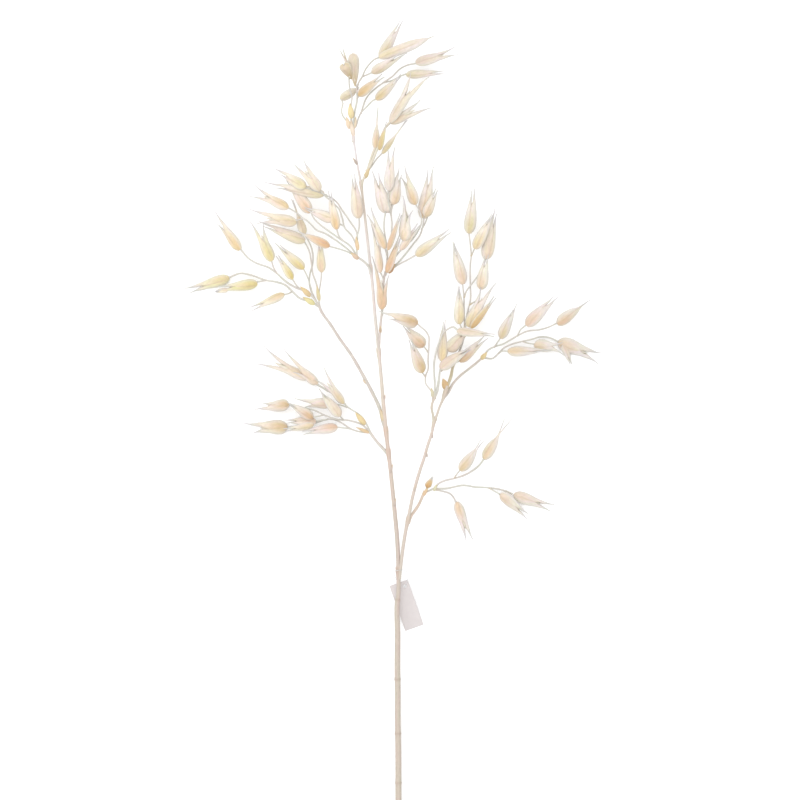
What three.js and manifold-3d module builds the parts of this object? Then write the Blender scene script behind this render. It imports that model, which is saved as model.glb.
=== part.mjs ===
// A dried oat stem, laid on a surface: a long cut stem with a second stem forking from it,
// ten sprays of spikelets on wiry stalks, and a small bare hang tag on a loop.
// Millimetres, +X right, +Y along the stem towards its top, +Z up, resting on Z = 0.
import * as THREE from "three";
import { mergeVertices } from "three/addons/utils/BufferGeometryUtils.js";
import Module from "manifold-3d";

const wasm = await Module();
wasm.setup();

// Driving dimensions. The whole stem is about 1040 mm long and 520 mm across its sprays.
const LAYOUT_CENTRE = [-9.5, 455.5]; // middle of the outline, in the layout's own X and Y
const STEM_SIDES = 8;
const TWIG_SIDES = 4;
const PEDICEL_SIDES = 3;
const PEDICEL_RADIUS = 0.75; // a twig no thicker than this is a pedicel
const SOCKET_GAP = 0.45; // clearance round a stalk's root inside its collar, at a corner
const SOCKET_BACK = 1; // how far a socket starts behind the root in it
const SOCKET_POINTS = 3; // how many points of a stalk its socket follows
const SPIKELET_THICKNESS = 0.62; // depth of a spikelet's body as a share of its width
const SPIKELET_SINK = 2.5; // how far a spikelet's base reaches back over its pedicel
const SPIKELET_ROLL = 0.4; // largest roll of a spikelet about its own axis, in radians
const ROLL_STEP = 2.4; // turn between the rolls of one spikelet and the next, in radians
const AWN_HALF = 0.55; // half the thickness of an awn where it leaves the glume
const BRACT_THICKNESS = 0.45; // depth of a sheath bract as a share of its width
const BRACT_LEAST_HALF = 0.3; // half the least depth of a bract
const BRACT_SIDES = 5;
const BRACT_RINGS = [[0, 0.45], [0.3, 1], [0.65, 0.72], [1, 0.14]]; // share of its length, of its half width
const TAG_WIDTH = 22.6;
const TAG_HEIGHT = 56.7;
const TAG_THICKNESS = 0.8;
const TAG_CENTRE = [8.3, 243.5];
const TAG_LEAN = 0.325; // turn of the card in plan, in radians
const TAG_LIFT = 8; // height of the card's upper edge, where the loop holds it
const TAG_HOLE = [5.3, 22.2]; // from the card's middle, across it and up it
const TAG_HOLE_RADIUS = 1.9;
const TAG_HOLE_SIDES = 12;
const LOOP_RADIUS = 0.45;
const LOOP_SIDES = 5;
const LOOP_STEPS = 28;
const GROUND_SIZE = 1400;
const GROUND_DEPTH = 20;
const SAME_PLACE = 1e-4; // corners closer than this are one corner

// Shape of a spikelet's body along its axis: share of its length, share of its half width.
const BODY_RINGS = [[0.13, 0.78], [0.29, 1], [0.46, 0.8]];
const SPLIT_RING = [0.6, 0.55]; // where the two glumes part
const AWN_RING = 0.74; // where each glume has narrowed to its awn
const SIDES = 6; // corners of a spikelet's ring: one in front, one behind, two on each side
const RING_REACH = 1 / Math.sin(Math.PI / 3); // brings the side corners out to the full width
const GLUME_OFFSET = 0.5; // of a glume's middle at the split, as a share of the half width there

// Stems: one point for each bend, then the radius there.
const MAIN_STEM = [
  [-2, -65, 3.7, 3.6], [-2.5, 18, 5.4, 3.6], [-2.4, 22, 5.5, 3.4], [-2.8, 80, 8, 3.4],
  [-3, 84, 8.2, 3.2], [-3.4, 148, 12.4, 3.2], [-3.4, 152, 12.7, 3], [-3.2, 248, 20.2, 3],
  [-3, 252, 20.6, 2.8], [-1.9, 287, 23.6, 2.8], [-3.1, 319, 26.6, 2.7], [-7.5, 369, 31, 2.6],
  [-11.9, 412, 34.4, 2.5], [-16.3, 450, 37, 2.4], [-20, 487, 39.4, 2.3], [-23.8, 531, 41.8, 2.1],
  [-27.5, 569, 43.8, 2], [-31.3, 606, 45.6, 1.9], [-34.4, 644, 47.2, 1.8], [-38.1, 677, 48.5, 1.7],
  [-41.9, 712, 49.7, 1.6], [-45.6, 744, 50.7, 1.5], [-48.8, 770, 51.3, 1.4], [-53.8, 797, 51.8, 1.3],
  [-57.2, 820, 52, 1.2], [-59.3, 834, 52, 1.2],
];
const RIGHT_STEM = [
  [-0.8, 276, 23.4, 1.9], [1.5, 297, 26.6, 1.9], [3.4, 312, 28.4, 1.9], [7.6, 338, 30.6, 1.8],
  [11.3, 356, 32.2, 1.8], [15, 375, 34, 1.7], [25, 412, 38, 1.7], [30, 427, 39.5, 1.6],
  [35, 444, 41, 1.6], [40, 460, 42.6, 1.5], [43, 474, 44, 1.5], [46, 481, 44.8, 1.5],
  [49, 490, 45.8, 1.4], [54, 502, 47, 1.4], [59, 518, 48, 1.4],
];

// Sheath collars on each stem: how far up the layout, half length, radius.
const MAIN_COLLARS = [
  [286, 9, 4.4], [434, 9, 3.9], [461, 9, 3.8], [559, 10, 3.7], [664, 9, 3.4], [768, 9, 3.1], [826, 7, 2.7],
];
const RIGHT_COLLARS = [[349, 9, 3.4], [473, 8, 3.3], [508, 9, 4]];
const COLLAR_RINGS = [[-1, 0], [-0.7, 0.85], [0.45, 1], [1, 0]]; // share of its half length, of its swelling

// Small nubs left on the main stem where leaves were: foot, tip, width.
const MAIN_NUBS = [
  [[-19, 501, 41], [-16, 510, 44], 3.4], [[-12.4, 408, 36], [-9, 420, 36.5], 3.6],
  [[-8, 366, 32.5], [-5, 377, 33.5], 3.6], [[-53.5, 794, 52.6], [-59, 803, 55.5], 3.4],
];
const RIGHT_NUBS = [
  [[17.5, 384, 35.6], [20, 394, 38.4], 3.2], [[33.5, 436, 41], [31.5, 446, 43], 3.2],
];

// The tag's loop: over the fork's collar, down its right side and up through the card's hole.
const LOOP = [
  [-1, 287, 29.3], [4.6, 287, 27.6], [8.6, 284, 22], [9.6, 275, 16], [7.2, 268, 11.6],
  [6.2, 266.2, 7.4], [5.2, 265.2, 3.6], [0, 267.4, 4], [-5, 276, 12], [-8, 284, 20], [-6.6, 286, 27.2],
];

// Each spray: its stalk and twigs as [radius at the root, radius at the end, points], its sheath
// bracts as [foot, tip, width], and its spikelets as [base, tip, second tip, width].
// The first twig is the stalk, and its first points are the root that sits in a stem's collar.
const SPRAYS = {
  "spray_low_left": {
    "stem": "main_stem",
    "twigs": [
      [1.3, 1.1, [[-14, 431, 35.6], [-22, 440, 35], [-30, 449, 33], [-38, 460, 30]]],
      [0.9, 0.7, [[-37, 459, 30], [-46, 468, 29], [-62, 474, 27], [-80, 476, 25], [-90, 479, 24],
        [-110, 488, 22], [-125, 491, 20], [-140, 494, 18]]],
      [0.9, 0.7, [[-37, 459, 30], [-54, 461, 27], [-62, 464, 26], [-71, 470, 24], [-81, 475, 21],
        [-106, 474, 17]]],
      [0.9, 0.7, [[-37, 459, 30], [-42, 470, 31], [-48, 479, 31], [-65, 491, 32], [-71, 496, 33]]],
      [0.7, 0.7, [[-90, 476, 20], [-100, 473, 15], [-109, 470, 13]]],
      [0.7, 0.7, [[-100, 474, 17.5], [-115, 471, 9], [-130, 467, 5.4], [-142, 466, 4.6]]],
      [0.7, 0.7, [[-71, 475, 26], [-76, 481, 34]]],
      [0.7, 0.7, [[-66, 491, 32], [-76, 494, 27], [-88, 496, 24]]],
      [0.7, 0.7, [[-62, 464, 26], [-79, 466, 27]]],
      [0.8, 0.7, [[-68, 494, 32.5], [-81, 505, 29], [-94, 514, 27], [-105, 521, 26]]],
      [0.7, 0.7, [[-90, 511, 27.5], [-108, 521, 22], [-119, 526, 20]]],
      [0.7, 0.7, [[-96, 481, 23.4], [-110, 478, 24]]],
    ],
    "bracts": [
      [[-40, 463, 30], [-55, 466, 31], 6], [[-42, 470, 31], [-54, 485, 34], 7],
    ],
    "spikelets": [
      [[-142, 466, 4.4], [-194, 471, 2], [-184, 458, 2], 15],
      [[-110, 478, 24], [-141, 497, 26], [-139, 494, 31], 14],
      [[-106, 474, 17], [-142, 475, 18], [-141, 472, 14], 10],
      [[-109, 470, 13], [-144, 464, 12], [-142, 461, 8], 8],
      [[-140, 494, 18], [-172, 496, 13], [-186, 488, 11], 12],
      [[-76, 481, 34], [-100, 512, 38], [-97, 508, 32], 11],
      [[-88, 496, 24], [-129, 502, 20], [-118, 491, 20], 10],
      [[-79, 466, 27], [-121, 461, 22], [-120, 457, 26], 11],
      [[-71, 496, 33], [-95, 540, 38], [-104, 526, 36], 10],
      [[-105, 521, 26], [-144, 562, 22], [-134, 535, 22], 11],
      [[-119, 526, 20], [-170, 566, 14], [-181, 545, 12], 14],
    ],
  },
  "spray_left": {
    "stem": "main_stem",
    "twigs": [
      [1.4, 1.2, [[-17, 459, 37.6], [-22, 476, 36.4], [-25, 488, 35], [-35, 510, 33], [-48, 534, 31],
        [-62, 558, 29], [-75, 576, 28], [-88, 596, 27], [-98, 610, 27], [-102, 619, 27]]],
      [0.9, 0.7, [[-101, 617, 27], [-115, 624, 25], [-125, 627, 24], [-135, 636, 22], [-144, 644, 20],
        [-156, 648, 18], [-168, 650, 15], [-188, 657, 10], [-200, 659, 7], [-214, 654, 4.6]]],
      [0.9, 0.7, [[-101, 617, 27], [-109, 629, 29], [-119, 636, 30], [-131, 641, 29], [-144, 649, 28],
        [-156, 660, 27], [-165, 666, 26], [-179, 671, 25], [-188, 676, 24], [-200, 689, 22]]],
      [0.9, 0.7, [[-101, 617, 27], [-108, 634, 24], [-111, 644, 23], [-110, 665, 21], [-109, 678, 20],
        [-114, 696, 18], [-120, 708, 18]]],
      [0.9, 0.7, [[-101, 617, 27], [-102, 631, 29], [-104, 641, 30], [-109, 658, 30], [-111, 676, 28],
        [-115, 692, 26], [-120, 699, 26]]],
      [0.7, 0.7, [[-167, 650, 15.2], [-179, 648, 17]]],
      [0.7, 0.7, [[-135, 636, 22], [-140, 633, 25], [-146, 632, 26]]],
      [0.7, 0.7, [[-154, 658, 27.2], [-158, 665, 30], [-161, 675, 33]]],
      [0.7, 0.7, [[-124, 638, 29.6], [-130, 644, 33], [-135, 652, 36]]],
      [0.7, 0.7, [[-109, 630, 29], [-115, 652, 37], [-121, 665, 41]]],
      [0.7, 0.7, [[-102, 631, 29], [-99, 649, 32], [-98, 661, 34]]],
    ],
    "bracts": [
      [[-107, 620, 27], [-122, 629, 27], 7], [[-112, 630, 29], [-125, 642, 33], 7],
      [[-101, 624, 28], [-104, 644, 34], 5], [[-43, 523, 32], [-48, 532, 34], 5],
    ],
    "spikelets": [
      [[-214, 654, 4.4], [-270, 641, 2], [-262, 635, 2], 15],
      [[-179, 648, 17], [-230, 644, 13], [-232, 635, 14], 15],
      [[-146, 632, 26], [-189, 616, 22], [-186, 611, 23], 12],
      [[-200, 689, 22], [-232, 736, 18], [-229, 720, 16], 14],
      [[-161, 675, 33], [-188, 724, 36], [-171, 720, 36], 15],
      [[-135, 652, 36], [-155, 680, 40], [-152, 681, 34], 11],
      [[-121, 665, 41], [-156, 696, 44], [-150, 694, 48], 14],
      [[-120, 708, 18], [-134, 750, 15], [-131, 750, 20], 10],
      [[-120, 699, 26], [-178, 724, 22], [-176, 721, 28], 14],
      [[-98, 661, 34], [-102, 700, 38], [-98, 702, 32], 12],
    ],
  },
  "spray_centre": {
    "stem": "main_stem",
    "twigs": [
      [1.3, 1.1, [[-26, 556, 43.2], [-26, 572, 47.5], [-25, 588, 53], [-23, 606, 57], [-22, 615, 58],
        [-21, 638, 62], [-20, 652, 65], [-18, 660, 66]]],
      [0.8, 0.7, [[-18, 658, 66], [-12, 662, 67], [0, 670, 68], [10, 675, 68], [20, 681, 68]]],
      [0.9, 0.7, [[-18, 659, 66], [-8, 666, 65], [6, 681, 64], [16, 694, 62], [25, 706, 60], [29, 719, 59],
        [30, 730, 58]]],
      [0.7, 0.7, [[27, 713, 59.5], [32, 722, 54], [35, 731, 52]]],
      [0.9, 0.7, [[-18, 658, 66], [-10, 672, 70], [-4, 681, 71], [6, 692, 70], [15, 700, 69], [22, 710, 68],
        [27, 722, 66], [25, 734, 66], [19, 745, 66]]],
      [0.7, 0.7, [[-10, 672, 70], [-5, 680, 74], [1, 688, 77], [5, 700, 80]]],
      [0.9, 0.7, [[-18, 658, 66], [-16, 675, 70], [-16, 688, 73], [-18, 700, 76], [-20, 719, 80],
        [-18, 735, 84]]],
      [0.7, 0.7, [[-16, 690, 73], [-11, 706, 75], [-10, 719, 76], [-11, 735, 79], [-8, 746, 80]]],
      [0.7, 0.7, [[-11, 730, 78], [-14, 744, 84], [-15, 762, 88]]],
      [0.7, 0.7, [[-16, 680, 71], [-19, 690, 78]]],
      [0.7, 0.7, [[-16, 675, 70], [-16, 688, 82]]],
      [0.7, 0.7, [[-20, 650, 65], [-25, 660, 72]]],
      [0.7, 0.7, [[-18, 656, 66], [-16, 662, 76]]],
      [0.8, 0.7, [[-22, 606, 57], [-22, 615, 63]]],
    ],
    "bracts": [
      [[-13, 659, 67], [-6, 670, 72], 5], [[-25, 583, 51], [-24, 593, 56], 5],
    ],
    "spikelets": [
      [[-15, 762, 88], [-15, 811, 88], [-7, 814, 86], 12],
      [[-18, 735, 84], [-34, 784, 84], [-28, 780, 88], 15],
      [[-8, 746, 80], [-1, 788, 78], [2, 781, 82], 12],
      [[19, 745, 66], [6, 792, 68], [1, 778, 70], 15],
      [[30, 730, 58], [35, 786, 54], [42, 790, 57], 15],
      [[35, 731, 52], [46, 762, 50], [48, 762, 44], 11],
      [[5, 700, 80], [4, 752, 84], [15, 735, 84], 12],
      [[1, 688, 77], [22, 720, 82], [25, 718, 76], 10],
      [[-19, 690, 78], [-41, 731, 82], [-36, 740, 80], 12],
      [[-16, 688, 82], [-1, 729, 88], [2, 727, 84], 9],
      [[-25, 660, 72], [-36, 719, 74], [-25, 706, 78], 11],
      [[-16, 662, 76], [-1, 704, 80], [1, 702, 75], 11],
      [[20, 681, 68], [59, 712, 64], [62, 708, 70], 14],
      [[-22, 615, 62], [-35, 678, 68], [-14, 655, 70], 12],
    ],
  },
  "spray_upper_left": {
    "stem": "main_stem",
    "twigs": [
      [1.3, 1.1, [[-36.4, 658, 47.8], [-39, 666, 52], [-43, 671, 56], [-48, 675, 60], [-54, 679, 63]]],
      [0.8, 0.7, [[-53, 678, 63], [-66, 685, 66], [-78, 689, 69], [-90, 692, 73]]],
      [0.9, 0.7, [[-53, 678, 63], [-69, 691, 64], [-81, 700, 65], [-94, 708, 66], [-104, 712, 66],
        [-112, 720, 65], [-120, 726, 64], [-130, 724, 62]]],
      [0.7, 0.7, [[-119, 725, 64], [-131, 735, 65], [-140, 740, 66]]],
      [0.9, 0.7, [[-53, 678, 63], [-62, 692, 67], [-75, 701, 70], [-88, 710, 72], [-100, 719, 73],
        [-109, 729, 73], [-111, 735, 73]]],
      [0.9, 0.7, [[-53, 678, 63], [-54, 691, 66], [-54, 709, 67], [-62, 722, 68], [-71, 735, 69],
        [-80, 748, 70], [-88, 754, 70], [-96, 758, 70]]],
      [0.8, 0.7, [[-54, 693, 66], [-61, 706, 69], [-69, 715, 71], [-72, 727, 73], [-76, 738, 75],
        [-84, 746, 77], [-94, 755, 78], [-99, 761, 78]]],
      [0.7, 0.7, [[-92, 756, 70], [-108, 761, 64], [-119, 766, 62]]],
      [0.7, 0.7, [[-54, 702, 66.6], [-51, 715, 68], [-51, 729, 69]]],
      [0.7, 0.7, [[-70, 698, 69], [-76, 704, 73], [-79, 714, 76]]],
      [0.7, 0.7, [[-70, 717, 71.4], [-84, 724, 78]]],
    ],
    "bracts": [
      [[-54, 679, 63.4], [-62, 684, 70], 6], [[-54, 689, 66], [-55, 702, 72], 6],
    ],
    "spikelets": [
      [[-90, 692, 73], [-128, 712, 72], [-126, 715, 78], 12],
      [[-130, 724, 62], [-188, 740, 56], [-180, 722, 54], 16],
      [[-140, 740, 66], [-182, 769, 64], [-188, 754, 62], 16],
      [[-111, 735, 73], [-149, 780, 74], [-156, 790, 70], 15],
      [[-119, 766, 62], [-169, 771, 58], [-155, 765, 56], 12],
      [[-99, 761, 78], [-121, 802, 80], [-134, 794, 78], 16],
      [[-96, 758, 70], [-146, 766, 68], [-144, 769, 74], 12],
      [[-51, 729, 69], [-60, 778, 70], [-56, 780, 74], 14],
      [[-79, 714, 76], [-90, 760, 80], [-86, 759, 82], 12],
      [[-84, 724, 78], [-119, 740, 80], [-117, 742, 76], 12],
    ],
  },
  "spray_upper_right": {
    "stem": "main_stem",
    "twigs": [
      [1.2, 1, [[-48, 764, 51.2], [-46.4, 774, 53.4], [-43, 781, 53], [-41, 786, 51]]],
      [0.8, 0.7, [[-41, 785, 51], [-38, 800, 48], [-32, 812, 46], [-30, 815, 46]]],
      [0.9, 0.7, [[-41, 785, 51], [-34, 800, 53], [-29, 812, 54], [-24, 825, 54], [-19, 838, 54],
        [-15, 845, 53], [-10, 854, 52]]],
      [0.7, 0.7, [[-15, 844, 53], [-11, 848, 47]]],
      [0.7, 0.7, [[-30, 808, 54], [-25, 812, 60]]],
      [0.8, 0.7, [[-41, 785, 51], [-32, 796, 46], [-26, 805, 44], [-22, 808, 43]]],
    ],
    "bracts": [
      [[-43, 780, 53], [-39, 791, 56], 4],
    ],
    "spikelets": [
      [[-30, 815, 46], [-28, 864, 44], [-25, 862, 49], 10],
      [[-25, 812, 60], [-16, 841, 62], [-18, 841, 58], 9],
      [[-22, 808, 43], [5, 845, 40], [3, 848, 36], 9],
      [[-10, 854, 52], [12, 901, 50], [35, 904, 46], 15],
      [[-11, 848, 47], [24, 875, 42], [39, 865, 42], 11],
    ],
  },
  "spray_top": {
    "stem": "main_stem",
    "twigs": [
      [1.1, 1, [[-58, 822, 52], [-58.9, 830, 52], [-60.4, 839, 52], [-61, 848, 52], [-61, 853, 52.6]]],
      [0.8, 0.7, [[-60.4, 838, 52], [-66, 845, 50], [-72, 858, 48], [-74, 870, 46], [-72, 878, 44]]],
      [0.9, 0.7, [[-61, 850, 52], [-58, 865, 54], [-54, 879, 55], [-54, 890, 56], [-50, 900, 57],
        [-44, 909, 57], [-38, 920, 56], [-28, 925, 55], [-24, 925, 55]]],
      [0.7, 0.7, [[-35, 921, 56], [-27, 927, 62]]],
      [0.7, 0.7, [[-49, 902, 57], [-42, 905, 62], [-35, 909, 66]]],
      [0.7, 0.7, [[-54, 877, 55], [-52, 881, 62]]],
      [0.8, 0.7, [[-60.4, 838, 52], [-56, 841, 49], [-52, 852, 46], [-48, 860, 45], [-42, 866, 47],
        [-32, 875, 50], [-29, 876, 50]]],
      [0.8, 0.7, [[-49, 858, 45], [-41, 879, 42], [-29, 891, 40], [-19, 898, 40], [-9, 905, 40],
        [0, 914, 40], [10, 919, 39], [20, 921, 38]]],
      [0.7, 0.7, [[-20, 897, 40], [-9, 900, 37], [0, 905, 35], [8, 908, 33]]],
      [0.7, 0.7, [[-61, 850, 52], [-60, 875, 57], [-62, 890, 63], [-64, 900, 67]]],
      [0.7, 0.7, [[-54, 886, 56], [-54, 892, 59], [-53, 896, 62]]],
    ],
    "bracts": [
      [[-61.5, 848, 53], [-62, 871, 59], 6],
    ],
    "spikelets": [
      [[-24, 925, 55], [2, 976, 52], [5, 971, 56], 15],
      [[-26, 927, 62], [42, 955, 66], [42, 958, 60], 15],
      [[-35, 909, 66], [8, 932, 72], [-2, 929, 76], 12],
      [[-52, 881, 62], [-20, 906, 68], [-18, 904, 62], 12],
      [[-29, 876, 50], [4, 906, 54], [6, 904, 48], 12],
      [[8, 908, 33], [51, 912, 28], [56, 909, 30], 11],
      [[20, 921, 38], [68, 941, 34], [71, 932, 34], 14],
      [[-54, 892, 58], [-74, 938, 60], [-71, 940, 64], 14],
      [[-53, 896, 62], [-59, 924, 92], [-56, 926, 93], 13],
      [[-64, 900, 66], [-75, 922, 92], [-79, 918, 94], 12],
      [[-72, 878, 44], [-56, 889, 6], [-60, 886, 5], 11],
    ],
  },
  "spray_low_right": {
    "stem": "right_stem",
    "twigs": [
      [1.2, 1, [[10, 346, 31.2], [14.4, 356, 29], [19, 362, 27], [24, 370, 26], [28, 379, 25],
        [31, 386, 24]]],
      [0.9, 0.8, [[30, 384, 24], [38, 387, 23], [44, 389, 22], [54, 399, 22], [69, 402, 21], [81, 406, 20],
        [91, 412, 19], [100, 419, 18], [105, 426, 17]]],
      [0.9, 0.7, [[43, 389, 22], [56, 389, 20], [81, 393, 16], [94, 391, 14], [112, 390, 11], [125, 388, 8],
        [135, 385, 5.4], [141, 382, 4.6]]],
      [0.7, 0.7, [[43, 389, 22], [54, 386, 19], [61, 382, 15], [66, 378, 9], [70, 372, 5]]],
      [0.7, 0.7, [[30, 384, 24], [34, 390, 26]]],
      [0.7, 0.7, [[68, 402, 21], [71, 407, 25], [75, 412, 28]]],
      [0.7, 0.7, [[111, 390, 11], [125, 382, 14]]],
    ],
    "bracts": [
      [[29, 381, 25], [36, 392, 28], 4],
    ],
    "spikelets": [
      [[75, 412, 28], [99, 449, 32], [103, 448, 28], 14],
      [[105, 426, 17], [130, 475, 14], [139, 474, 12], 15],
      [[125, 382, 14], [159, 358, 12], [159, 351, 14], 12],
      [[141, 382, 4.1], [191, 369, 1.8], [186, 361, 1.8], 13],
      [[70, 372, 4.2], [82, 324, 1.8], [91, 324, 1.8], 14],
      [[34, 390, 26], [40, 405, 30], [42, 403, 27], 7],
    ],
  },
  "spray_middle": {
    "stem": "right_stem",
    "twigs": [
      [1.3, 1.1, [[42.6, 472, 43.8], [41, 482, 47], [39.4, 490, 51], [41, 498, 54], [44, 503, 56]]],
      [0.8, 0.7, [[41, 498, 54], [39, 511, 58], [32, 521, 60], [32, 530, 61], [35, 538, 62], [35, 550, 63],
        [36, 569, 65], [36, 579, 66], [32, 586, 67], [25, 592, 68], [21, 596, 68]]],
      [0.7, 0.7, [[35, 560, 64], [29, 568, 56]]],
      [0.7, 0.7, [[32, 529, 61], [26, 536, 68]]],
      [0.8, 0.7, [[43, 502, 56], [44, 519, 60], [42, 535, 64], [41, 544, 66], [45, 559, 69], [50, 575, 72],
        [54, 584, 73], [59, 588, 74], [66, 591, 75], [72, 586, 76]]],
      [0.8, 0.7, [[43, 502, 56], [48, 525, 60], [50, 538, 61], [54, 550, 62]]],
      [0.8, 0.7, [[43, 502, 56], [47, 510, 56], [49, 519, 55], [51, 531, 54.5], [51, 540, 54]]],
      [0.7, 0.7, [[51, 544, 61.6], [58, 556, 62], [61, 564, 60]]],
      [0.7, 0.7, [[51, 536, 55], [62, 543, 60], [75, 549, 58]]],
    ],
    "bracts": [
      [[41, 499, 54.4], [38, 513, 61], 5],
    ],
    "spikelets": [
      [[21, 596, 68], [-26, 610, 71], [-12, 600, 72], 14],
      [[29, 568, 56], [5, 590, 52], [7, 592, 58], 12],
      [[26, 536, 68], [11, 574, 74], [14, 574, 70], 12],
      [[72, 586, 76], [118, 582, 79], [117, 579, 73], 12],
      [[54, 550, 62], [58, 599, 60], [55, 599, 66], 12],
      [[61, 564, 60], [85, 586, 66], [82, 589, 62], 14],
      [[51, 540, 54], [88, 562, 51], [87, 565, 56], 14],
      [[75, 549, 58], [106, 580, 60], [109, 576, 56], 11],
    ],
  },
  "spray_right_up": {
    "stem": "right_stem",
    "twigs": [
      [1.3, 1, [[56.6, 509.4, 47.6], [60, 519, 45.6], [64, 531, 41], [66, 541, 39], [70, 550, 38],
        [74, 560, 37], [78, 571, 37], [80, 580, 37]]],
      [0.9, 0.7, [[80, 578, 37], [82, 594, 37], [85, 612, 37], [88, 625, 37], [88, 644, 37], [88, 669, 37],
        [89, 681, 37], [88, 694, 37], [86, 710, 37]]],
      [0.7, 0.7, [[89, 680, 37], [94, 691, 44]]],
      [0.8, 0.7, [[88, 640, 37], [96, 655, 35], [105, 672, 34]]],
      [0.7, 0.7, [[87, 619, 37], [98, 627, 42], [101, 640, 44]]],
      [0.8, 0.7, [[81, 590, 37], [80, 612, 40], [80, 628, 41], [78, 646, 42]]],
      [0.7, 0.7, [[80, 580, 37], [74, 598, 46]]],
      [0.7, 0.7, [[80, 580, 37], [82, 594, 44]]],
      [0.7, 0.7, [[80, 578, 37], [86, 586, 48], [90, 592, 54]]],
    ],
    "bracts": [
      [[62.4, 526, 42.6], [53, 535, 44], 6],
    ],
    "spikelets": [
      [[86, 710, 37], [90, 760, 34], [93, 764, 38], 14],
      [[94, 691, 44], [114, 731, 46], [117, 733, 42], 11],
      [[105, 672, 34], [119, 740, 30], [121, 732, 26], 15],
      [[101, 640, 44], [104, 678, 48], [110, 680, 46], 12],
      [[78, 646, 42], [67, 696, 44], [70, 697, 38], 12],
      [[74, 598, 46], [72, 640, 50], [75, 641, 46], 12],
      [[82, 594, 44], [105, 635, 48], [119, 644, 46], 15],
      [[90, 592, 54], [119, 626, 58], [117, 628, 54], 11],
    ],
  },
  "spray_right": {
    "stem": "right_stem",
    "twigs": [
      [1.3, 1.1, [[54, 502.4, 46.9], [59.4, 508, 43.4], [66, 520, 40], [75, 530, 38], [85, 538, 35],
        [94, 545, 32], [101, 551, 30], [105, 554, 29]]],
      [0.9, 0.7, [[104, 553, 29], [110, 562, 29], [119, 567, 28], [129, 570, 27], [138, 575, 26],
        [150, 582, 25], [159, 586, 24], [175, 588, 22], [188, 592, 20], [196, 596, 18]]],
      [0.9, 0.7, [[104, 553, 29], [116, 552, 25], [124, 559, 23], [130, 565, 21], [138, 569, 19],
        [156, 574, 15], [165, 576, 12], [175, 579, 9], [188, 578, 6], [200, 572, 5]]],
      [0.7, 0.7, [[118, 566, 28], [122, 572, 33], [126, 578, 36]]],
      [0.7, 0.7, [[147, 580, 25], [151, 588, 29], [158, 594, 32]]],
      [0.7, 0.7, [[123, 558, 23], [128, 561, 28], [136, 561, 30]]],
      [0.7, 0.7, [[154, 573.6, 15.4], [161, 571, 19], [169, 570, 21]]],
      [0.7, 0.7, [[200, 573, 6], [205, 568, 7]]],
    ],
    "bracts": [
      [[101.5, 551, 30], [109, 560, 34], 6],
    ],
    "spikelets": [
      [[126, 578, 36], [140, 610, 42], [146, 619, 40], 12],
      [[158, 594, 32], [192, 629, 34], [198, 629, 30], 15],
      [[196, 596, 18], [235, 622, 16], [238, 625, 12], 12],
      [[136, 561, 30], [178, 561, 30], [188, 562, 26], 10],
      [[169, 570, 21], [200, 572, 22], [204, 558, 22], 12],
      [[200, 572, 5.3], [251, 559, 2.2], [248, 546, 2.2], 17],
      [[205, 568, 7], [214, 546, 4], [212, 546, 6], 7],
    ],
  },
};

// Colours and finish: straw, sheath, stem, card and clear loop.
const COLOURS = {
  "spray_low_left": "#ead9bd", "spray_left": "#ece0bc", "spray_centre": "#eed7c4",
  "spray_upper_left": "#edd5bf", "spray_upper_right": "#ebdcc0", "spray_top": "#ecdcc2",
  "spray_low_right": "#eddcc8", "spray_middle": "#ecd9c2", "spray_right_up": "#ece0ba",
  "spray_right": "#ead7bb",
};
const STRAW_ROUGHNESS = 0.75;
const STEM_COLOUR = "#d8cab8";
const STEM_ROUGHNESS = 0.6;
const CARD_COLOUR = "#f4f3ef";
const CARD_ROUGHNESS = 0.9;
const LOOP_COLOUR = "#e9ecee";
const LOOP_ROUGHNESS = 0.3;

// A closed body from points and the triangles between them.
function body(points, triangles) {
  const vertProperties = new Float32Array(points.flatMap((point) => point.toArray()));
  return new wasm.Manifold(new wasm.Mesh({ numProp: 3, vertProperties, triVerts: new Uint32Array(triangles) }));
}

function vector(place) {
  return new THREE.Vector3(place[0], place[1], place[2]);
}

// The level direction across a path that runs along `along`, and the direction up from both.
function across(along) {
  const side = new THREE.Vector3().crossVectors(along, new THREE.Vector3(0, 0, 1)).normalize();
  const up = new THREE.Vector3().crossVectors(side, along).normalize();
  return { side, up };
}

// An oval ring of points about a place on a path, square to the path.
function ring(middle, along, halfWidth, halfDepth, sides) {
  const { side, up } = across(along);
  return Array.from({ length: sides }, (_, k) => {
    const angle = (2 * Math.PI * k) / sides;
    return middle.clone()
      .addScaledVector(side, halfWidth * Math.sin(angle))
      .addScaledVector(up, halfDepth * Math.cos(angle));
  });
}

// A skin over rings of points. Flat caps close its ends, or the last ring meets the first in a loop.
function skin(rings, looped = false) {
  const sides = rings[0].length;
  const triangles = [];
  const bands = looped ? rings.length : rings.length - 1;
  for (let r = 0; r < bands; r += 1) {
    const low = r * sides;
    const high = ((r + 1) % rings.length) * sides;
    for (let k = 0; k < sides; k += 1) {
      const next = (k + 1) % sides;
      triangles.push(low + k, low + next, high + next, low + k, high + next, high + k);
    }
  }
  if (!looped) {
    const end = (rings.length - 1) * sides;
    for (let k = 1; k < sides - 1; k += 1) triangles.push(0, k + 1, k, end, end + k, end + k + 1);
  }
  return body(rings.flat(), triangles);
}

// The direction of a run of points at one of them: from the point before it to the point after it.
function heading(points, i) {
  const before = points[Math.max(i - 1, 0)];
  const after = points[Math.min(i + 1, points.length - 1)];
  return after.clone().sub(before).normalize();
}

// A round rod along a run of points, its radius going evenly from the first to the last.
function rod(places, first, last, sides) {
  const points = places.map(vector);
  return skin(points.map((point, i) => {
    const radius = first + ((last - first) * i) / (points.length - 1);
    return ring(point, heading(points, i), radius, radius, sides);
  }));
}

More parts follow.
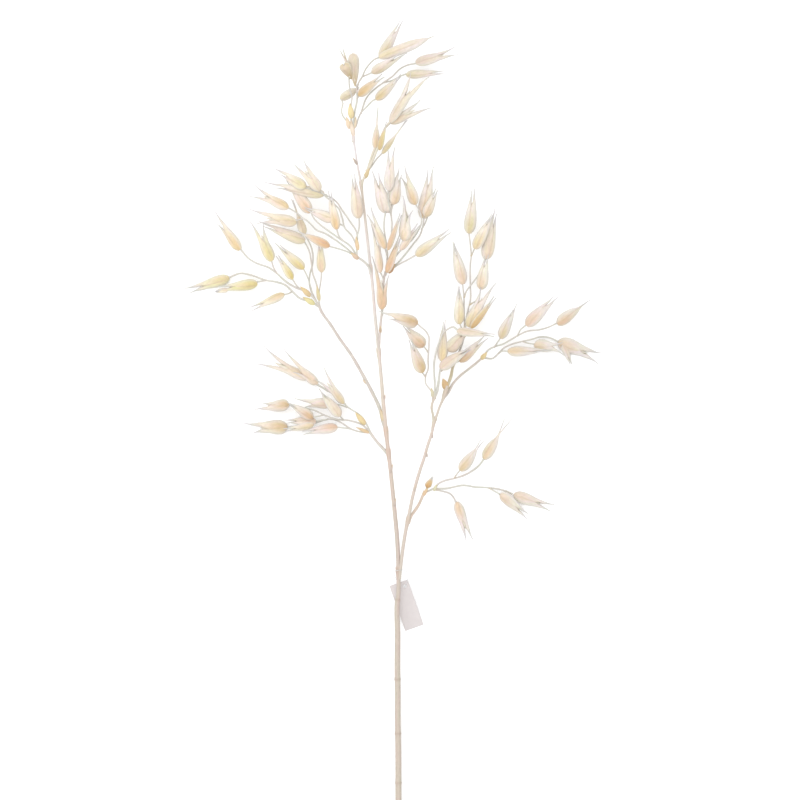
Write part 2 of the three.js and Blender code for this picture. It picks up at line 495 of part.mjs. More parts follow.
// The stem's middle and radius at a height of the layout, between its two nearest points.
function stemAt(places, height) {
  const above = Math.max(places.findIndex((place) => place[1] >= height), 1);
  const [from, to] = [places[above - 1], places[above]];
  const share = (height - from[1]) / (to[1] - from[1]);
  return from.map((value, i) => value + (to[i] - value) * share);
}

// A stem: a rod through its points that swells to a collar where stalks enter it.
function stem(places, collars) {
  const swellings = collars.flatMap(([middle, half, radius]) => COLLAR_RINGS.map(([share, swelling]) => {
    const [x, y, z, bare] = stemAt(places, middle + share * half);
    return [x, y, z, bare + (radius - bare) * swelling];
  }));
  const clear = places.filter((place) => collars.every(([middle, half]) => Math.abs(place[1] - middle) > half));
  const rings = [...clear, ...swellings].sort((one, other) => one[1] - other[1]);
  const points = rings.map(vector);
  return skin(points.map((point, i) => ring(point, heading(points, i), rings[i][3], rings[i][3], STEM_SIDES)));
}

// A sheath bract or nub: a slim pointed blade, widest a third of the way up.
function bract([foot, tip, width]) {
  const start = vector(foot);
  const along = vector(tip).sub(start);
  return skin(BRACT_RINGS.map(([share, size]) => {
    const half = (width / 2) * size;
    const depth = Math.max(half * BRACT_THICKNESS, BRACT_LEAST_HALF);
    return ring(start.clone().addScaledVector(along, share), along.clone().normalize(), half, depth, BRACT_SIDES);
  }));
}

// A spikelet: a six-sided body that swells to its full width near its base, then parts
// at the split ring into two glumes, each of which narrows to a long awn.
function spikelet([base, tip, secondTip, width], order) {
  const foot = vector(base);
  const tips = [vector(tip), vector(secondTip)];
  const along = tips[0].clone().add(tips[1]).multiplyScalar(0.5).sub(foot);
  const length = along.length();
  along.normalize();
  const flat = across(along);
  const roll = SPIKELET_ROLL * Math.sin(ROLL_STEP * order);
  const side = flat.side.clone().multiplyScalar(Math.cos(roll)).addScaledVector(flat.up, Math.sin(roll));
  const up = flat.up.clone().multiplyScalar(Math.cos(roll)).addScaledVector(flat.side, -Math.sin(roll));
  const half = width / 2;
  const at = (middle, halfWidth, halfDepth, step) => middle.clone()
    .addScaledVector(side, halfWidth * RING_REACH * Math.sin((2 * Math.PI * step) / SIDES))
    .addScaledVector(up, halfDepth * Math.cos((2 * Math.PI * step) / SIDES));

  const points = [foot.clone().addScaledVector(along, -SPIKELET_SINK)];
  const triangles = [];
  const rings = [...BODY_RINGS, SPLIT_RING];
  rings.forEach(([share, size], r) => {
    const middle = foot.clone().addScaledVector(along, share * length);
    for (let k = 0; k < SIDES; k += 1) {
      points.push(at(middle, half * size, half * size * SPIKELET_THICKNESS, k));
      const next = (k + 1) % SIDES;
      const low = 1 + (r - 1) * SIDES;
      const high = 1 + r * SIDES;
      if (r === 0) triangles.push(0, high + next, high + k);
      else triangles.push(low + k, low + next, high + next, low + k, high + next, high + k);
    }
  });

  const split = 1 + (rings.length - 1) * SIDES;
  const splitMiddle = foot.clone().addScaledVector(along, SPLIT_RING[0] * length);
  const awnShare = (AWN_RING - SPLIT_RING[0]) / (1 - SPLIT_RING[0]);
  const rightFirst = tips[0].clone().sub(tips[1]).dot(side) > 0;
  [rightFirst ? tips[0] : tips[1], rightFirst ? tips[1] : tips[0]].forEach((point, glume) => {
    const outward = glume === 0 ? 1 : -1;
    const root = splitMiddle.clone().addScaledVector(side, outward * half * SPLIT_RING[1] * GLUME_OFFSET);
    const middle = root.lerp(point, awnShare);
    const steps = Array.from({ length: SIDES / 2 + 1 }, (_, k) => (k + (glume * SIDES) / 2) % SIDES);
    const awn = points.length;
    steps.forEach((step) => points.push(at(middle, 2 * AWN_HALF, AWN_HALF, step)));
    points.push(point);
    const end = points.length - 1;
    steps.forEach((step, k) => {
      const next = (k + 1) % steps.length;
      triangles.push(split + step, split + steps[next], awn + next, split + step, awn + next, awn + k);
      triangles.push(awn + k, awn + next, end);
    });
  });
  return body(points, triangles);
}

// A three.js solid of its own class as a body: only the places of its corners are kept.
function asBody(geometry) {
  geometry.deleteAttribute("normal");
  geometry.deleteAttribute("uv");
  const merged = mergeVertices(geometry, SAME_PLACE);
  return new wasm.Manifold(new wasm.Mesh({
    numProp: 3,
    vertProperties: merged.attributes.position.array,
    triVerts: new Uint32Array(merged.index.array),
  }));
}

// Everything below the surface that the stem lies on, which trims the lowest spikelets flat.
const ground = asBody(new THREE.BoxGeometry(GROUND_SIZE, GROUND_SIZE, GROUND_DEPTH)
  .translate(LAYOUT_CENTRE[0], LAYOUT_CENTRE[1], -GROUND_DEPTH / 2));

const group = new THREE.Group();
group.position.set(-LAYOUT_CENTRE[0], -LAYOUT_CENTRE[1], 0);

function add(name, solid, colour, roughness) {
  const { numProp, vertProperties, triVerts } = solid.getMesh();
  const geometry = new THREE.BufferGeometry();
  const places = new THREE.InterleavedBuffer(vertProperties, numProp);
  geometry.setAttribute("position", new THREE.InterleavedBufferAttribute(places, 3, 0));
  geometry.setIndex(new THREE.BufferAttribute(triVerts, 1));
  const material = new THREE.MeshStandardMaterial({ color: colour, roughness, metalness: 0 });
  const mesh = new THREE.Mesh(geometry, material);
  mesh.name = name;
  group.add(mesh);
  return mesh;
}

// A root's socket: the first stretch of the stalk, with clearance, starting a little behind it.
function socket(places, radius, sides) {
  const path = places.slice(0, SOCKET_POINTS).map((place) => place.slice(0, 3));
  const back = vector(path[0]).sub(vector(path[1])).setLength(SOCKET_BACK);
  path[0] = vector(path[0]).add(back).toArray();
  return rod(path, radius + SOCKET_GAP, radius + SOCKET_GAP, sides);
}

// Each spray is one body: its twigs, bracts and spikelets grown together.
Object.entries(SPRAYS).forEach(([name, { twigs, bracts, spikelets }]) => {
  const pieces = [
    ...twigs.map(([first, last, places]) => (
      rod(places, first, last, first > PEDICEL_RADIUS ? TWIG_SIDES : PEDICEL_SIDES))),
    ...bracts.map(bract),
    ...spikelets.map(spikelet),
  ];
  add(name, wasm.Manifold.union(pieces).subtract(ground), COLOURS[name], STRAW_ROUGHNESS);
});

// Each stem carries its collars and nubs, with a socket for the root of each stalk.
function carrier(name, path, collars, nubs, extraRoots) {
  const roots = Object.values(SPRAYS)
    .filter((spray) => spray.stem === name)
    .map((spray) => socket(spray.twigs[0][2], spray.twigs[0][0], TWIG_SIDES));
  const grown = [stem(path, collars), ...nubs.map(bract)];
  const solid = wasm.Manifold.union(grown).subtract(wasm.Manifold.union([...roots, ...extraRoots, ground]));
  add(name, solid, STEM_COLOUR, STEM_ROUGHNESS);
}
carrier("main_stem", MAIN_STEM, MAIN_COLLARS, MAIN_NUBS, [socket(RIGHT_STEM, RIGHT_STEM[0][3], STEM_SIDES)]);
carrier("right_stem", RIGHT_STEM, RIGHT_COLLARS, RIGHT_NUBS, []);

// The tag's card, leaning in plan, with its upper edge lifted by the loop.
const outline = new THREE.Shape();
outline.moveTo(-TAG_WIDTH / 2, -TAG_HEIGHT / 2);
outline.lineTo(TAG_WIDTH / 2, -TAG_HEIGHT / 2);
outline.lineTo(TAG_WIDTH / 2, TAG_HEIGHT / 2);
outline.lineTo(-TAG_WIDTH / 2, TAG_HEIGHT / 2);
outline.closePath();
outline.holes.push(new THREE.Path().absarc(TAG_HOLE[0], TAG_HOLE[1], TAG_HOLE_RADIUS, 0, 2 * Math.PI, true));
const card = add("tag_card", asBody(new THREE.ExtrudeGeometry(outline, {
  depth: TAG_THICKNESS,
  bevelEnabled: false,
  curveSegments: TAG_HOLE_SIDES,
})), CARD_COLOUR, CARD_ROUGHNESS);
const tagTilt = Math.asin(TAG_LIFT / TAG_HEIGHT);
card.rotation.set(tagTilt, 0, TAG_LEAN, "ZXY");
card.position.set(TAG_CENTRE[0], TAG_CENTRE[1], TAG_LIFT / 2);

// The loop that holds the tag.
const loopPath = new THREE.CatmullRomCurve3(LOOP.map(vector), true);
const loopRings = Array.from({ length: LOOP_STEPS }, (_, i) => {
  const share = i / LOOP_STEPS;
  return ring(loopPath.getPointAt(share), loopPath.getTangentAt(share), LOOP_RADIUS, LOOP_RADIUS, LOOP_SIDES);
});
add("tag_loop", skin(loopRings, true), LOOP_COLOUR, LOOP_ROUGHNESS);

export default group;
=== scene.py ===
import math

import bpy
import numpy as np
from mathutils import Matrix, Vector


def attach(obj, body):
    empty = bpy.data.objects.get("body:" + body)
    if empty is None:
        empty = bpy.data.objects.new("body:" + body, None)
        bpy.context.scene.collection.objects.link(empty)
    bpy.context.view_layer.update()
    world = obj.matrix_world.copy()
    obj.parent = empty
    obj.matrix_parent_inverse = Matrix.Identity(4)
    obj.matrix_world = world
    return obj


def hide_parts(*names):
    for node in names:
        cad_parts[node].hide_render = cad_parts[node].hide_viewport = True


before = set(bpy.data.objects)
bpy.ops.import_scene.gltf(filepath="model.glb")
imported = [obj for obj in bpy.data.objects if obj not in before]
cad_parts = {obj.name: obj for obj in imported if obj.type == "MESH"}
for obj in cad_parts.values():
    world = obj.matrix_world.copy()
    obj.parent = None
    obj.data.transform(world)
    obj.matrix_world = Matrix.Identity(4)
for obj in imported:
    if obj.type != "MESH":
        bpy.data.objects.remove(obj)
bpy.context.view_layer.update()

# The oat stem's layout is in millimetres: +X right, +Y up the stem, +Z away from the surface it lies on.
MM = 0.001
LAYOUT_CENTRE = np.array([-9.5, 455.5, 0.0])
UP = np.array([0.0, 0.0, 1.0])

# Stems: one point for each bend, then the radius there.
MAIN_STEM = [
    [-1.4, -65, 3.7, 3.7], [-2, 18, 5.4, 3.7], [-2, 22, 5.5, 3.65], [-2.5, 80, 8, 3.65],
    [-2.6, 84, 8.2, 3.6], [-3, 148, 12.4, 3.6], [-3.1, 152, 12.7, 3.6], [-3, 205, 16.8, 3.5],
    [-3.1, 248, 20.2, 3.1], [-2.6, 252, 20.6, 2.6], [-2, 287, 23.6, 2.6], [-3.1, 319, 26.6, 2.7],
    [-7.5, 369, 31, 2.6], [-11.9, 412, 34.4, 2.5], [-16.3, 450, 37, 2.4], [-20, 487, 39.4, 2.3],
    [-23.8, 531, 41.8, 2.1], [-27.5, 569, 43.8, 2], [-31.3, 606, 45.6, 1.9], [-34.4, 644, 47.2, 1.8],
    [-38.1, 677, 48.5, 1.7], [-41.9, 712, 49.7, 1.6], [-45.6, 744, 50.7, 1.5], [-48.8, 770, 51.3, 1.4],
    [-53.8, 797, 51.8, 1.3], [-57.2, 820, 52, 1.2], [-59.3, 834, 52, 1.2],
]
RIGHT_STEM = [
    [-0.8, 276, 23.4, 2.1], [1.5, 297, 26.6, 2.1], [3.4, 312, 28.4, 2.1], [7.6, 338, 30.6, 2.1],
    [11.3, 356, 32.2, 2.1], [15, 375, 34, 2], [25, 412, 38, 2], [30, 427, 39.5, 1.9],
    [35, 444, 41, 1.9], [40, 460, 42.6, 1.8], [43, 474, 44, 1.7], [46, 481, 44.8, 1.6],
    [49, 490, 45.8, 1.5], [54, 502, 47, 1.5], [59, 518, 48, 1.5],
]

# Sheath collars on each stem: how far up the layout, half length, radius.
MAIN_COLLARS = [
    [286, 9, 4.4], [434, 9, 3.9], [461, 9, 3.8], [559, 10, 3.7], [664, 9, 3.4], [768, 9, 3.1], [826, 7, 2.7],
]
RIGHT_COLLARS = [[349, 9, 3.4], [473, 8, 3.3], [508, 9, 4]]

# Small nubs left on the main stem where leaves were: foot, tip, width.
MAIN_NUBS = [
    [[-20, 500, 41], [-18.4, 507, 43], 2.8], [[-12.4, 408, 36], [-9, 420, 36.5], 3.6],
    [[-8, 366, 32.5], [-5, 377, 33.5], 3.6], [[-53.5, 794, 52.6], [-59, 803, 55.5], 3.4],
]
RIGHT_NUBS = [
    [[17.5, 384, 35.6], [20, 394, 38.4], 3], [[34, 428.5, 41], [32.5, 437, 43], 2.6],
    [[40.8, 452.5, 42], [39.6, 460, 44.2], 2.6],
]

# The tag's loop: over the fork's collar, down its right side and up through the card's hole.
LOOP = [
    [-1, 287, 29.3], [4.6, 287, 27.6], [8.6, 284, 22], [9.6, 275, 16], [7.2, 268, 11.6],
    [6.2, 266.2, 7.4], [5.2, 265.2, 3.6], [0, 267.4, 4], [-5, 276, 12], [-8, 284, 20], [-6.6, 286, 27.2],
]

# Each spray: its stalk and twigs as [radius at the root, radius at the end, points], its sheath
# bracts as [foot, tip, width], and its spikelets as [base, tip, second tip, width].
# The first twig is the stalk, and its first points are the root that sits in a stem's collar.
SPRAYS = {
    "spray_low_left": {
        "twigs": [
            [1.6, 1.2, [[-14, 431, 35.5], [-22, 440, 35], [-30, 449, 33], [-38, 460, 30]]],
            [0.9, 0.7, [[-37, 459, 30], [-46, 468, 29], [-62, 474, 27], [-80, 476, 25], [-90, 479, 24],
                [-110, 488, 22], [-125, 491, 20], [-140, 494, 18]]],
            [0.9, 0.7, [[-37, 459, 30], [-54, 461, 27], [-62, 464, 26], [-71, 470, 24], [-81, 475, 21],
                [-106, 474, 17]]],
            [0.9, 0.7, [[-37, 459, 30], [-42, 470, 31], [-48, 479, 31], [-65, 491, 32], [-71, 496, 33]]],
            [0.7, 0.7, [[-90, 476, 20], [-100, 473, 15], [-109, 470, 13]]],
            [0.7, 0.7, [[-100, 474, 17.5], [-115, 471, 9], [-130, 467, 5.5], [-142, 466, 4.5]]],
            [0.7, 0.7, [[-71, 475, 26], [-76, 481, 34]]],
            [0.7, 0.7, [[-66, 491, 32], [-76, 494, 27], [-88, 496, 24]]],
            [0.7, 0.7, [[-62, 464, 26], [-79, 466, 27]]],
            [0.8, 0.7, [[-68, 494, 32.5], [-81, 505, 29], [-94, 514, 27], [-105, 521, 26]]],
            [0.7, 0.7, [[-90, 511, 27.5], [-108, 521, 22], [-119, 526, 20]]],
            [0.7, 0.7, [[-96, 481, 23.5], [-110, 478, 24]]],
        ],
        "bracts": [
            [[-38.5, 459, 31], [-55.5, 466, 31], 4.5], [[-43.5, 469.5, 31], [-56, 484.5, 34], 7.5],
        ],
        "spikelets": [
            [[-142.5, 466, 5], [-196, 471, 2], [-185.5, 458, 2], 19],
            [[-110, 478, 24], [-141, 497, 26], [-139, 494, 31], 14],
            [[-106.5, 473, 17], [-144, 475, 18], [-141, 471, 14], 14.5],
            [[-109.5, 469, 20], [-146, 464, 18], [-144, 460.5, 14], 11],
            [[-140, 494, 18], [-173.5, 496.5, 13], [-182.5, 488, 11], 16],
            [[-75.5, 480.5, 34], [-101, 514, 38], [-98.5, 510, 32], 15],
            [[-87.5, 496, 24], [-131.5, 502, 20], [-120, 490.5, 20], 15],
            [[-79.5, 466, 27], [-122.5, 461, 22], [-121, 456.5, 26], 14],
            [[-71, 496.5, 33], [-95.5, 542, 38], [-106.5, 526, 36], 11],
            [[-104, 521, 26], [-145.5, 564, 22], [-134, 535, 22], 13],
            [[-117, 527, 20], [-171, 568, 14], [-183, 545.5, 12], 14],
        ],
    },
    "spray_left": {
        "twigs": [
            [1.8, 1.3, [[-17, 459, 37.5], [-22, 476, 36.5], [-25, 488, 35], [-35, 510, 33], [-48, 534, 31],
                [-62, 558, 29], [-75, 576, 28], [-88, 596, 27], [-98, 610, 27], [-102, 619, 27]]],
            [1, 0.85, [[-101, 617, 27], [-115, 624, 25], [-125, 627, 24], [-135, 636, 22], [-144, 644, 20],
                [-156, 648, 18], [-168, 650, 15], [-188, 657, 10], [-200, 659, 7], [-214, 654, 4.5]]],
            [1, 0.85, [[-101, 617, 27], [-109, 629, 29], [-119, 636, 30], [-131, 641, 29], [-144, 649, 28],
                [-156, 660, 27], [-165, 666, 26], [-179, 671, 25], [-188, 676, 24], [-200, 689, 22]]],
            [0.9, 0.7, [[-101, 617, 27], [-109.5, 632.5, 25], [-113.5, 646, 26], [-113, 656, 28],
                [-109, 672.5, 31], [-110, 687.5, 36], [-114.5, 699, 41], [-120, 708, 46]]],
            [0.9, 0.7, [[-101, 617, 27], [-102, 631, 29], [-104.5, 645, 30], [-109, 657.5, 31],
                [-111, 672.5, 32], [-113.5, 686, 35], [-120, 699, 38]]],
            [0.7, 0.7, [[-167, 650, 15], [-179, 648, 17]]],
            [0.7, 0.7, [[-135, 636, 22], [-140, 633, 25], [-146, 632, 26]]],
            [0.7, 0.7, [[-154, 658, 27], [-158, 665, 30], [-161, 675, 33]]],
            [0.7, 0.7, [[-124, 638, 29.5], [-130, 644, 33], [-135, 652, 36]]],
            [0.7, 0.7, [[-109, 630, 29], [-115, 652, 37], [-121, 665, 41]]],
            [0.7, 0.7, [[-102, 631, 29], [-99, 649, 32], [-98, 661, 34]]],
        ],
        "bracts": [
            [[-107, 620, 27], [-122, 629, 27], 7], [[-112, 630, 29], [-125, 642, 33], 7],
            [[-101, 624, 28], [-104, 644, 34], 5], [[-42.5, 520.5, 32], [-46.5, 526, 34], 3],
            [[-20, 473, 38], [-24.5, 489, 38.5], 6],
        ],
        "spikelets": [
            [[-215.5, 653, 4.5], [-270.5, 640, 2], [-264, 634, 2], 15],
            [[-180, 646, 17], [-228, 642.5, 13], [-232, 636, 14], 15],
            [[-146, 632, 26], [-189, 616, 22], [-186, 611, 23], 12],
            [[-201, 689, 22], [-232.5, 738, 18], [-230, 721.5, 16], 14],
            [[-161, 675, 33], [-188, 724, 36], [-171, 720, 36], 15],
            [[-135, 652, 36], [-155, 680, 40], [-152, 681, 34], 11],
            [[-121, 665, 41], [-156, 696, 44], [-150, 694, 48], 14],
            [[-120, 707.5, 46], [-135.5, 751, 44], [-133.5, 750, 48], 12],
            [[-120, 699, 40], [-177.5, 724, 42], [-171, 717, 40], 15],
            [[-98, 661, 34], [-102, 700, 38], [-98, 702, 32], 12],
            [[-216, 638, 14], [-231, 635.5, 12], [-231, 636, 12], 7],
        ],
    },
    "spray_centre": {
        "twigs": [
            [1.3, 1.1, [[-26, 556, 43], [-26, 572, 47.5], [-25, 588, 53], [-23, 606, 57], [-22, 615, 58],
                [-21, 638, 62], [-20, 652, 65], [-18, 660, 66]]],
            [0.8, 0.7, [[-18, 658, 66], [-12, 662, 67], [0, 670, 68], [10, 675, 68], [20, 681, 68]]],
            [0.9, 0.7, [[-18, 659, 66], [-8, 666, 65], [6, 681, 64], [16, 694, 62], [25, 706, 60],
                [29, 719, 59], [30, 730, 58]]],
            [0.7, 0.7, [[27, 713, 59.5], [32, 722, 54], [35, 731, 52]]],
            [0.9, 0.7, [[-18, 658, 66], [-10, 672, 70], [-4, 681, 71], [6, 692, 70], [15, 700, 69],
                [22, 710, 68], [27, 722, 66], [25, 734, 66], [19, 745, 66]]],
            [0.7, 0.7, [[-10, 672, 70], [-5, 680, 74], [1, 688, 77], [5, 700, 80]]],
            [0.9, 0.7, [[-18, 658, 66], [-16, 675, 70], [-16, 688, 73], [-18, 700, 76], [-20, 719, 80],
                [-18, 735, 84]]],
            [0.7, 0.7, [[-16, 690, 73], [-11, 706, 75], [-10, 719, 76], [-11, 735, 79], [-8, 746, 80]]],
            [0.7, 0.7, [[-11, 730, 78], [-14, 744, 84], [-15, 762, 88]]],
            [0.7, 0.7, [[-16, 680, 71], [-19, 690, 78]]],
            [0.7, 0.7, [[-16, 675, 70], [-16, 688, 82]]],
            [0.7, 0.7, [[-20, 650, 65], [-25, 660, 72]]],
            [0.7, 0.7, [[-18, 656, 66], [-16, 662, 76]]],
            [0.8, 0.7, [[-22, 606, 57], [-22, 615, 63]]],
        ],
        "bracts": [
            [[-14, 658.5, 67], [-6, 670, 71], 6], [[-25, 583, 51], [-24, 593, 56], 4],
        ],
        "spikelets": [
            [[-14, 762, 88], [-15, 812, 88], [-6, 816, 86], 14],
            [[-16.5, 734.5, 78], [-35, 785.5, 80], [-26.5, 783, 82], 19],
            [[-9, 745, 80], [-1, 790, 78], [2.5, 781, 82], 17.5],
            [[19, 745, 66], [6, 792, 68], [1, 778, 70], 15],
            [[29, 728, 56], [34.5, 788, 52], [42, 792, 54], 18],
            [[32, 730, 62], [44.5, 764, 64], [47.5, 762.5, 60], 14],
            [[5.5, 699.5, 80], [3.5, 754.5, 84], [16, 736, 84], 17],
            [[1, 688, 77], [22, 720, 82], [25, 718, 76], 10],
            [[-19, 690, 78], [-41, 731, 82], [-36, 740, 80], 12],
            [[-14.5, 688, 82], [0, 732.5, 88], [2, 730.5, 84], 8],
            [[-25, 660, 72], [-36, 719, 74], [-25, 706, 78], 11],
            [[-16, 660, 76], [-1, 706, 80], [1.5, 704, 75], 11],
            [[21, 681, 68], [61, 713.5, 64], [64, 709, 70], 15],
            [[-22.5, 614.5, 62], [-35, 679.5, 68], [-13.5, 656, 70], 14],
            [[-14, 734.5, 74], [-13.5, 772.5, 76], [-10, 772, 74], 10],
        ],
    },
    "spray_upper_left": {
        "twigs": [
            [1.3, 1.1, [[-36.5, 658, 48], [-39, 666, 52], [-43, 671, 56], [-48, 675, 60], [-54, 679, 63]]],
            [0.8, 0.7, [[-53, 678, 63], [-66, 685, 66], [-78, 689, 69], [-90, 692, 73]]],
            [0.9, 0.7, [[-53, 678, 63], [-69, 691, 64], [-81, 700, 65], [-94, 708, 66], [-104, 712, 66],
                [-112, 720, 65], [-120, 726, 64], [-130, 724, 62]]],
            [0.7, 0.7, [[-119, 725, 64], [-131, 735, 65], [-140, 740, 66]]],
            [0.9, 0.7, [[-53, 678, 63], [-62, 692, 67], [-75, 701, 70], [-88, 710, 72], [-100, 719, 73],
                [-109, 729, 73], [-111, 735, 73]]],
            [0.9, 0.7, [[-54, 679, 63.5], [-54, 691, 66], [-54, 709, 67], [-62, 722, 68], [-71, 735, 69],
                [-80, 748, 70], [-87, 753, 70], [-96, 756, 68.5]]],
            [0.8, 0.7, [[-54, 693, 66], [-61, 706, 69], [-69, 715, 71], [-72, 727, 73], [-76, 738, 75],
                [-84, 746, 77], [-94, 755, 78], [-99, 761, 78]]],
            [0.7, 0.7, [[-91, 755.5, 70], [-107.5, 761, 73], [-117.5, 765, 76]]],
            [0.7, 0.7, [[-54, 702, 66.5], [-51, 715, 68], [-51, 729, 69]]],
            [0.7, 0.7, [[-70, 698, 69], [-76, 704, 73], [-79, 714, 76]]],
            [0.7, 0.7, [[-70, 717, 71.5], [-84, 724, 78]]],
        ],
        "bracts": [
            [[-52, 676, 63], [-61.5, 684, 67], 6], [[-52.5, 687, 66], [-55, 704.5, 70], 5],
        ],
        "spikelets": [
            [[-89, 692, 73], [-127, 712, 72], [-125, 704.5, 74], 12],
            [[-130.5, 722, 60], [-189, 739, 56], [-179.5, 720, 54], 16],
            [[-140.5, 740, 66], [-182, 769, 64], [-188, 754, 62], 14.5],
            [[-112.5, 735, 66], [-142, 774, 60], [-139, 775, 58], 16.5],
            [[-118.5, 765.5, 76], [-158, 790, 72], [-149, 781, 70], 15],
            [[-100.5, 762, 80], [-120.5, 800, 80], [-134, 795, 78], 15],
            [[-96, 757, 68], [-170.5, 772, 72], [-155, 764.5, 70], 16],
            [[-52, 728, 69], [-60.5, 780.5, 70], [-56.5, 782.5, 74], 17],
            [[-79, 714, 76], [-89.5, 760.5, 80], [-86, 759, 82], 13],
            [[-84, 725, 76], [-119, 740.5, 74], [-118.5, 738, 72], 14.5],
        ],
    },
    "spray_upper_right": {
        "twigs": [
            [1.2, 1, [[-48, 764, 51], [-46.5, 774, 53.5], [-42.5, 782, 53], [-40, 786.5, 51]]],
            [1.5, 1.3, [[-41, 785.5, 51], [-37, 798, 48], [-33, 810.5, 46], [-30.5, 815.5, 46]]],
            [1.4, 0.8, [[-41, 785.5, 51], [-33.5, 801, 53], [-29, 812.5, 54], [-23.5, 823, 54],
                [-19, 838, 54], [-15.5, 844, 53], [-10.5, 849.5, 52]]],
            [0.8, 0.8, [[-16.5, 842, 53], [-11.5, 847, 47]]],
            [0.8, 0.8, [[-26, 819, 54], [-25.5, 812.5, 56]]],
            [0.8, 0.7, [[-40.5, 785, 51], [-34, 794, 49], [-28.5, 802, 48], [-22, 808.5, 48]]],
        ],
        "bracts": [
            [[-44, 777, 53], [-38, 790, 54.5], 5.5],
        ],
        "spikelets": [
            [[-30.5, 814.5, 46], [-27.5, 866, 44], [-27.5, 865.5, 49], 10],
            [[-25.5, 813, 56], [-17, 847.5, 60], [-17.5, 844.5, 57], 8],
            [[-21.5, 809, 48], [9, 850, 44], [7, 849, 41], 8],
            [[-11.5, 848, 52], [13.5, 909, 50], [36.5, 904, 46], 13.5],
            [[-11, 847, 47], [25.5, 875, 44], [40, 865.5, 42], 13],
        ],
    },
    "spray_top": {
        "twigs": [
            [1.1, 1, [[-58, 822, 52], [-59, 830, 52], [-60.5, 839, 52], [-61, 848, 52], [-61, 853, 52.5]]],
            [0.8, 0.7, [[-60.5, 838, 52], [-65.5, 847, 51], [-71.5, 855, 49], [-73, 860, 48],
                [-72.5, 866, 46], [-71.5, 871, 45], [-73.5, 876, 44]]],
            [0.9, 0.7, [[-59, 841, 52.5], [-57, 855, 53.5], [-56, 862.5, 54], [-54, 872, 55],
                [-53.5, 879, 55.5], [-54, 886, 56], [-51, 897.5, 57], [-47.5, 903, 57], [-44, 911, 57],
                [-39.5, 918, 56], [-32.5, 925, 55.5], [-24.5, 929, 55]]],
            [0.7, 0.7, [[-31, 926, 55], [-26, 927.5, 62]]],
            [0.7, 0.7, [[-46.5, 904, 57], [-41, 906, 62], [-34, 909, 66]]],
            [0.7, 0.7, [[-53.5, 877, 55.5], [-51, 880, 62]]],
            [0.8, 0.7, [[-60.5, 838, 52], [-56, 841, 49], [-52, 852, 46], [-48, 860, 45], [-42, 866, 47],
                [-32, 875, 50], [-29, 876, 50]]],
            [0.8, 0.7, [[-49, 858, 45], [-41, 879, 42], [-29, 891, 40], [-19, 898, 40], [-9, 905, 40],
                [0, 914, 40], [10, 919, 39], [20, 921, 38]]],
            [0.7, 0.7, [[-20, 897, 40], [-9, 900, 37], [0, 905, 35], [8, 908, 33]]],
            [0.7, 0.7, [[-60.5, 845, 52.5], [-61, 860, 55], [-61, 870, 56], [-60, 877.5, 58],
                [-62.5, 887.5, 61], [-63.5, 895, 64], [-63.5, 901, 67]]],
            [0.7, 0.7, [[-54, 885, 56], [-54, 890, 58], [-54, 893, 62]]],
        ],
        "bracts": [
            [[-60.5, 852, 55], [-62.5, 870.5, 60], 8], [[-63, 839, 52], [-67, 854, 55], 6],
            [[-57.5, 839, 51], [-55, 854.5, 50], 5], [[-58, 829.5, 52.5], [-61.5, 850, 55.5], 6],
        ],
        "spikelets": [
            [[-24, 928, 53], [5, 976, 51], [0.5, 974.5, 55], 14],
            [[-25, 928, 62], [42.5, 954, 66], [41, 954, 60], 14.5],
            [[-34, 909, 66], [9, 933, 72], [-0.5, 932, 76], 14],
            [[-51, 880.5, 62], [-22.5, 907, 68], [-19.5, 903, 62], 13],
            [[-29, 876, 50], [1, 907, 54], [1, 904, 48], 12.5],
            [[9, 907, 33], [55, 912, 28], [56, 908, 30], 12],
            [[21, 922, 38], [69, 942, 34], [73, 932, 34], 15],
            [[-61.5, 907.5, 58], [-76, 938, 60], [-71.5, 940, 64], 6],
            [[-56, 892.5, 60], [-59, 932, 84], [-57.5, 932, 84], 15],
            [[-61, 901, 66], [-71.5, 919, 82], [-69.5, 920, 83], 16],
            [[-74, 877, 44], [-51, 891.5, 42], [-51.5, 888, 41], 12.5],
        ],
    },
    "spray_low_right": {
        "twigs": [
            [1.6, 1.3, [[10, 346, 31], [14.5, 356, 29], [19, 362, 27], [24, 370, 26], [28, 379, 25],
                [31, 386, 24]]],
            [1, 0.9, [[30, 384, 24], [38, 387, 23], [44, 390, 22], [47.5, 394.5, 22], [56, 399, 22],
                [69, 402, 21], [81, 406, 20], [91, 411.5, 19], [100, 419, 18], [105, 426, 17]]],
            [1, 0.85, [[43, 389, 22], [56, 389, 20], [81, 393, 16], [94, 391, 14], [112, 390, 11],
                [125, 388, 8], [135, 385, 5.5], [141, 382, 4.5]]],
            [0.85, 0.8, [[43, 388, 22], [54, 385.5, 19], [62, 383, 15], [67, 378, 9], [70, 372, 5]]],
            [0.7, 0.7, [[30, 384, 24], [34, 390, 26]]],
            [0.7, 0.7, [[68, 402, 21], [71, 407, 25], [75, 412, 28]]],
            [0.7, 0.7, [[111, 390, 11], [125, 382, 14]]],
        ],
        "bracts": [
            [[28.5, 379.5, 25], [35.5, 391, 28], 4.5], [[42.5, 386, 23], [46, 394.5, 25], 4],
        ],
        "spikelets": [
            [[76, 412.5, 28], [101, 450.5, 32], [105, 449, 28], 15],
            [[106, 427, 17], [131, 477, 14], [140.5, 476, 12], 14.5],
            [[127, 382, 14], [161, 357.5, 12], [159.5, 350, 14], 15.5],
            [[144, 381, 5], [193.5, 369, 2.5], [188.5, 360.5, 2.5], 16],
            [[71.5, 371, 5], [83, 323, 2], [91.5, 324.5, 2], 13],
            [[33.5, 391, 26], [40.5, 405, 30], [42, 404, 28], 9],
        ],
    },
    "spray_middle": {
        "twigs": [
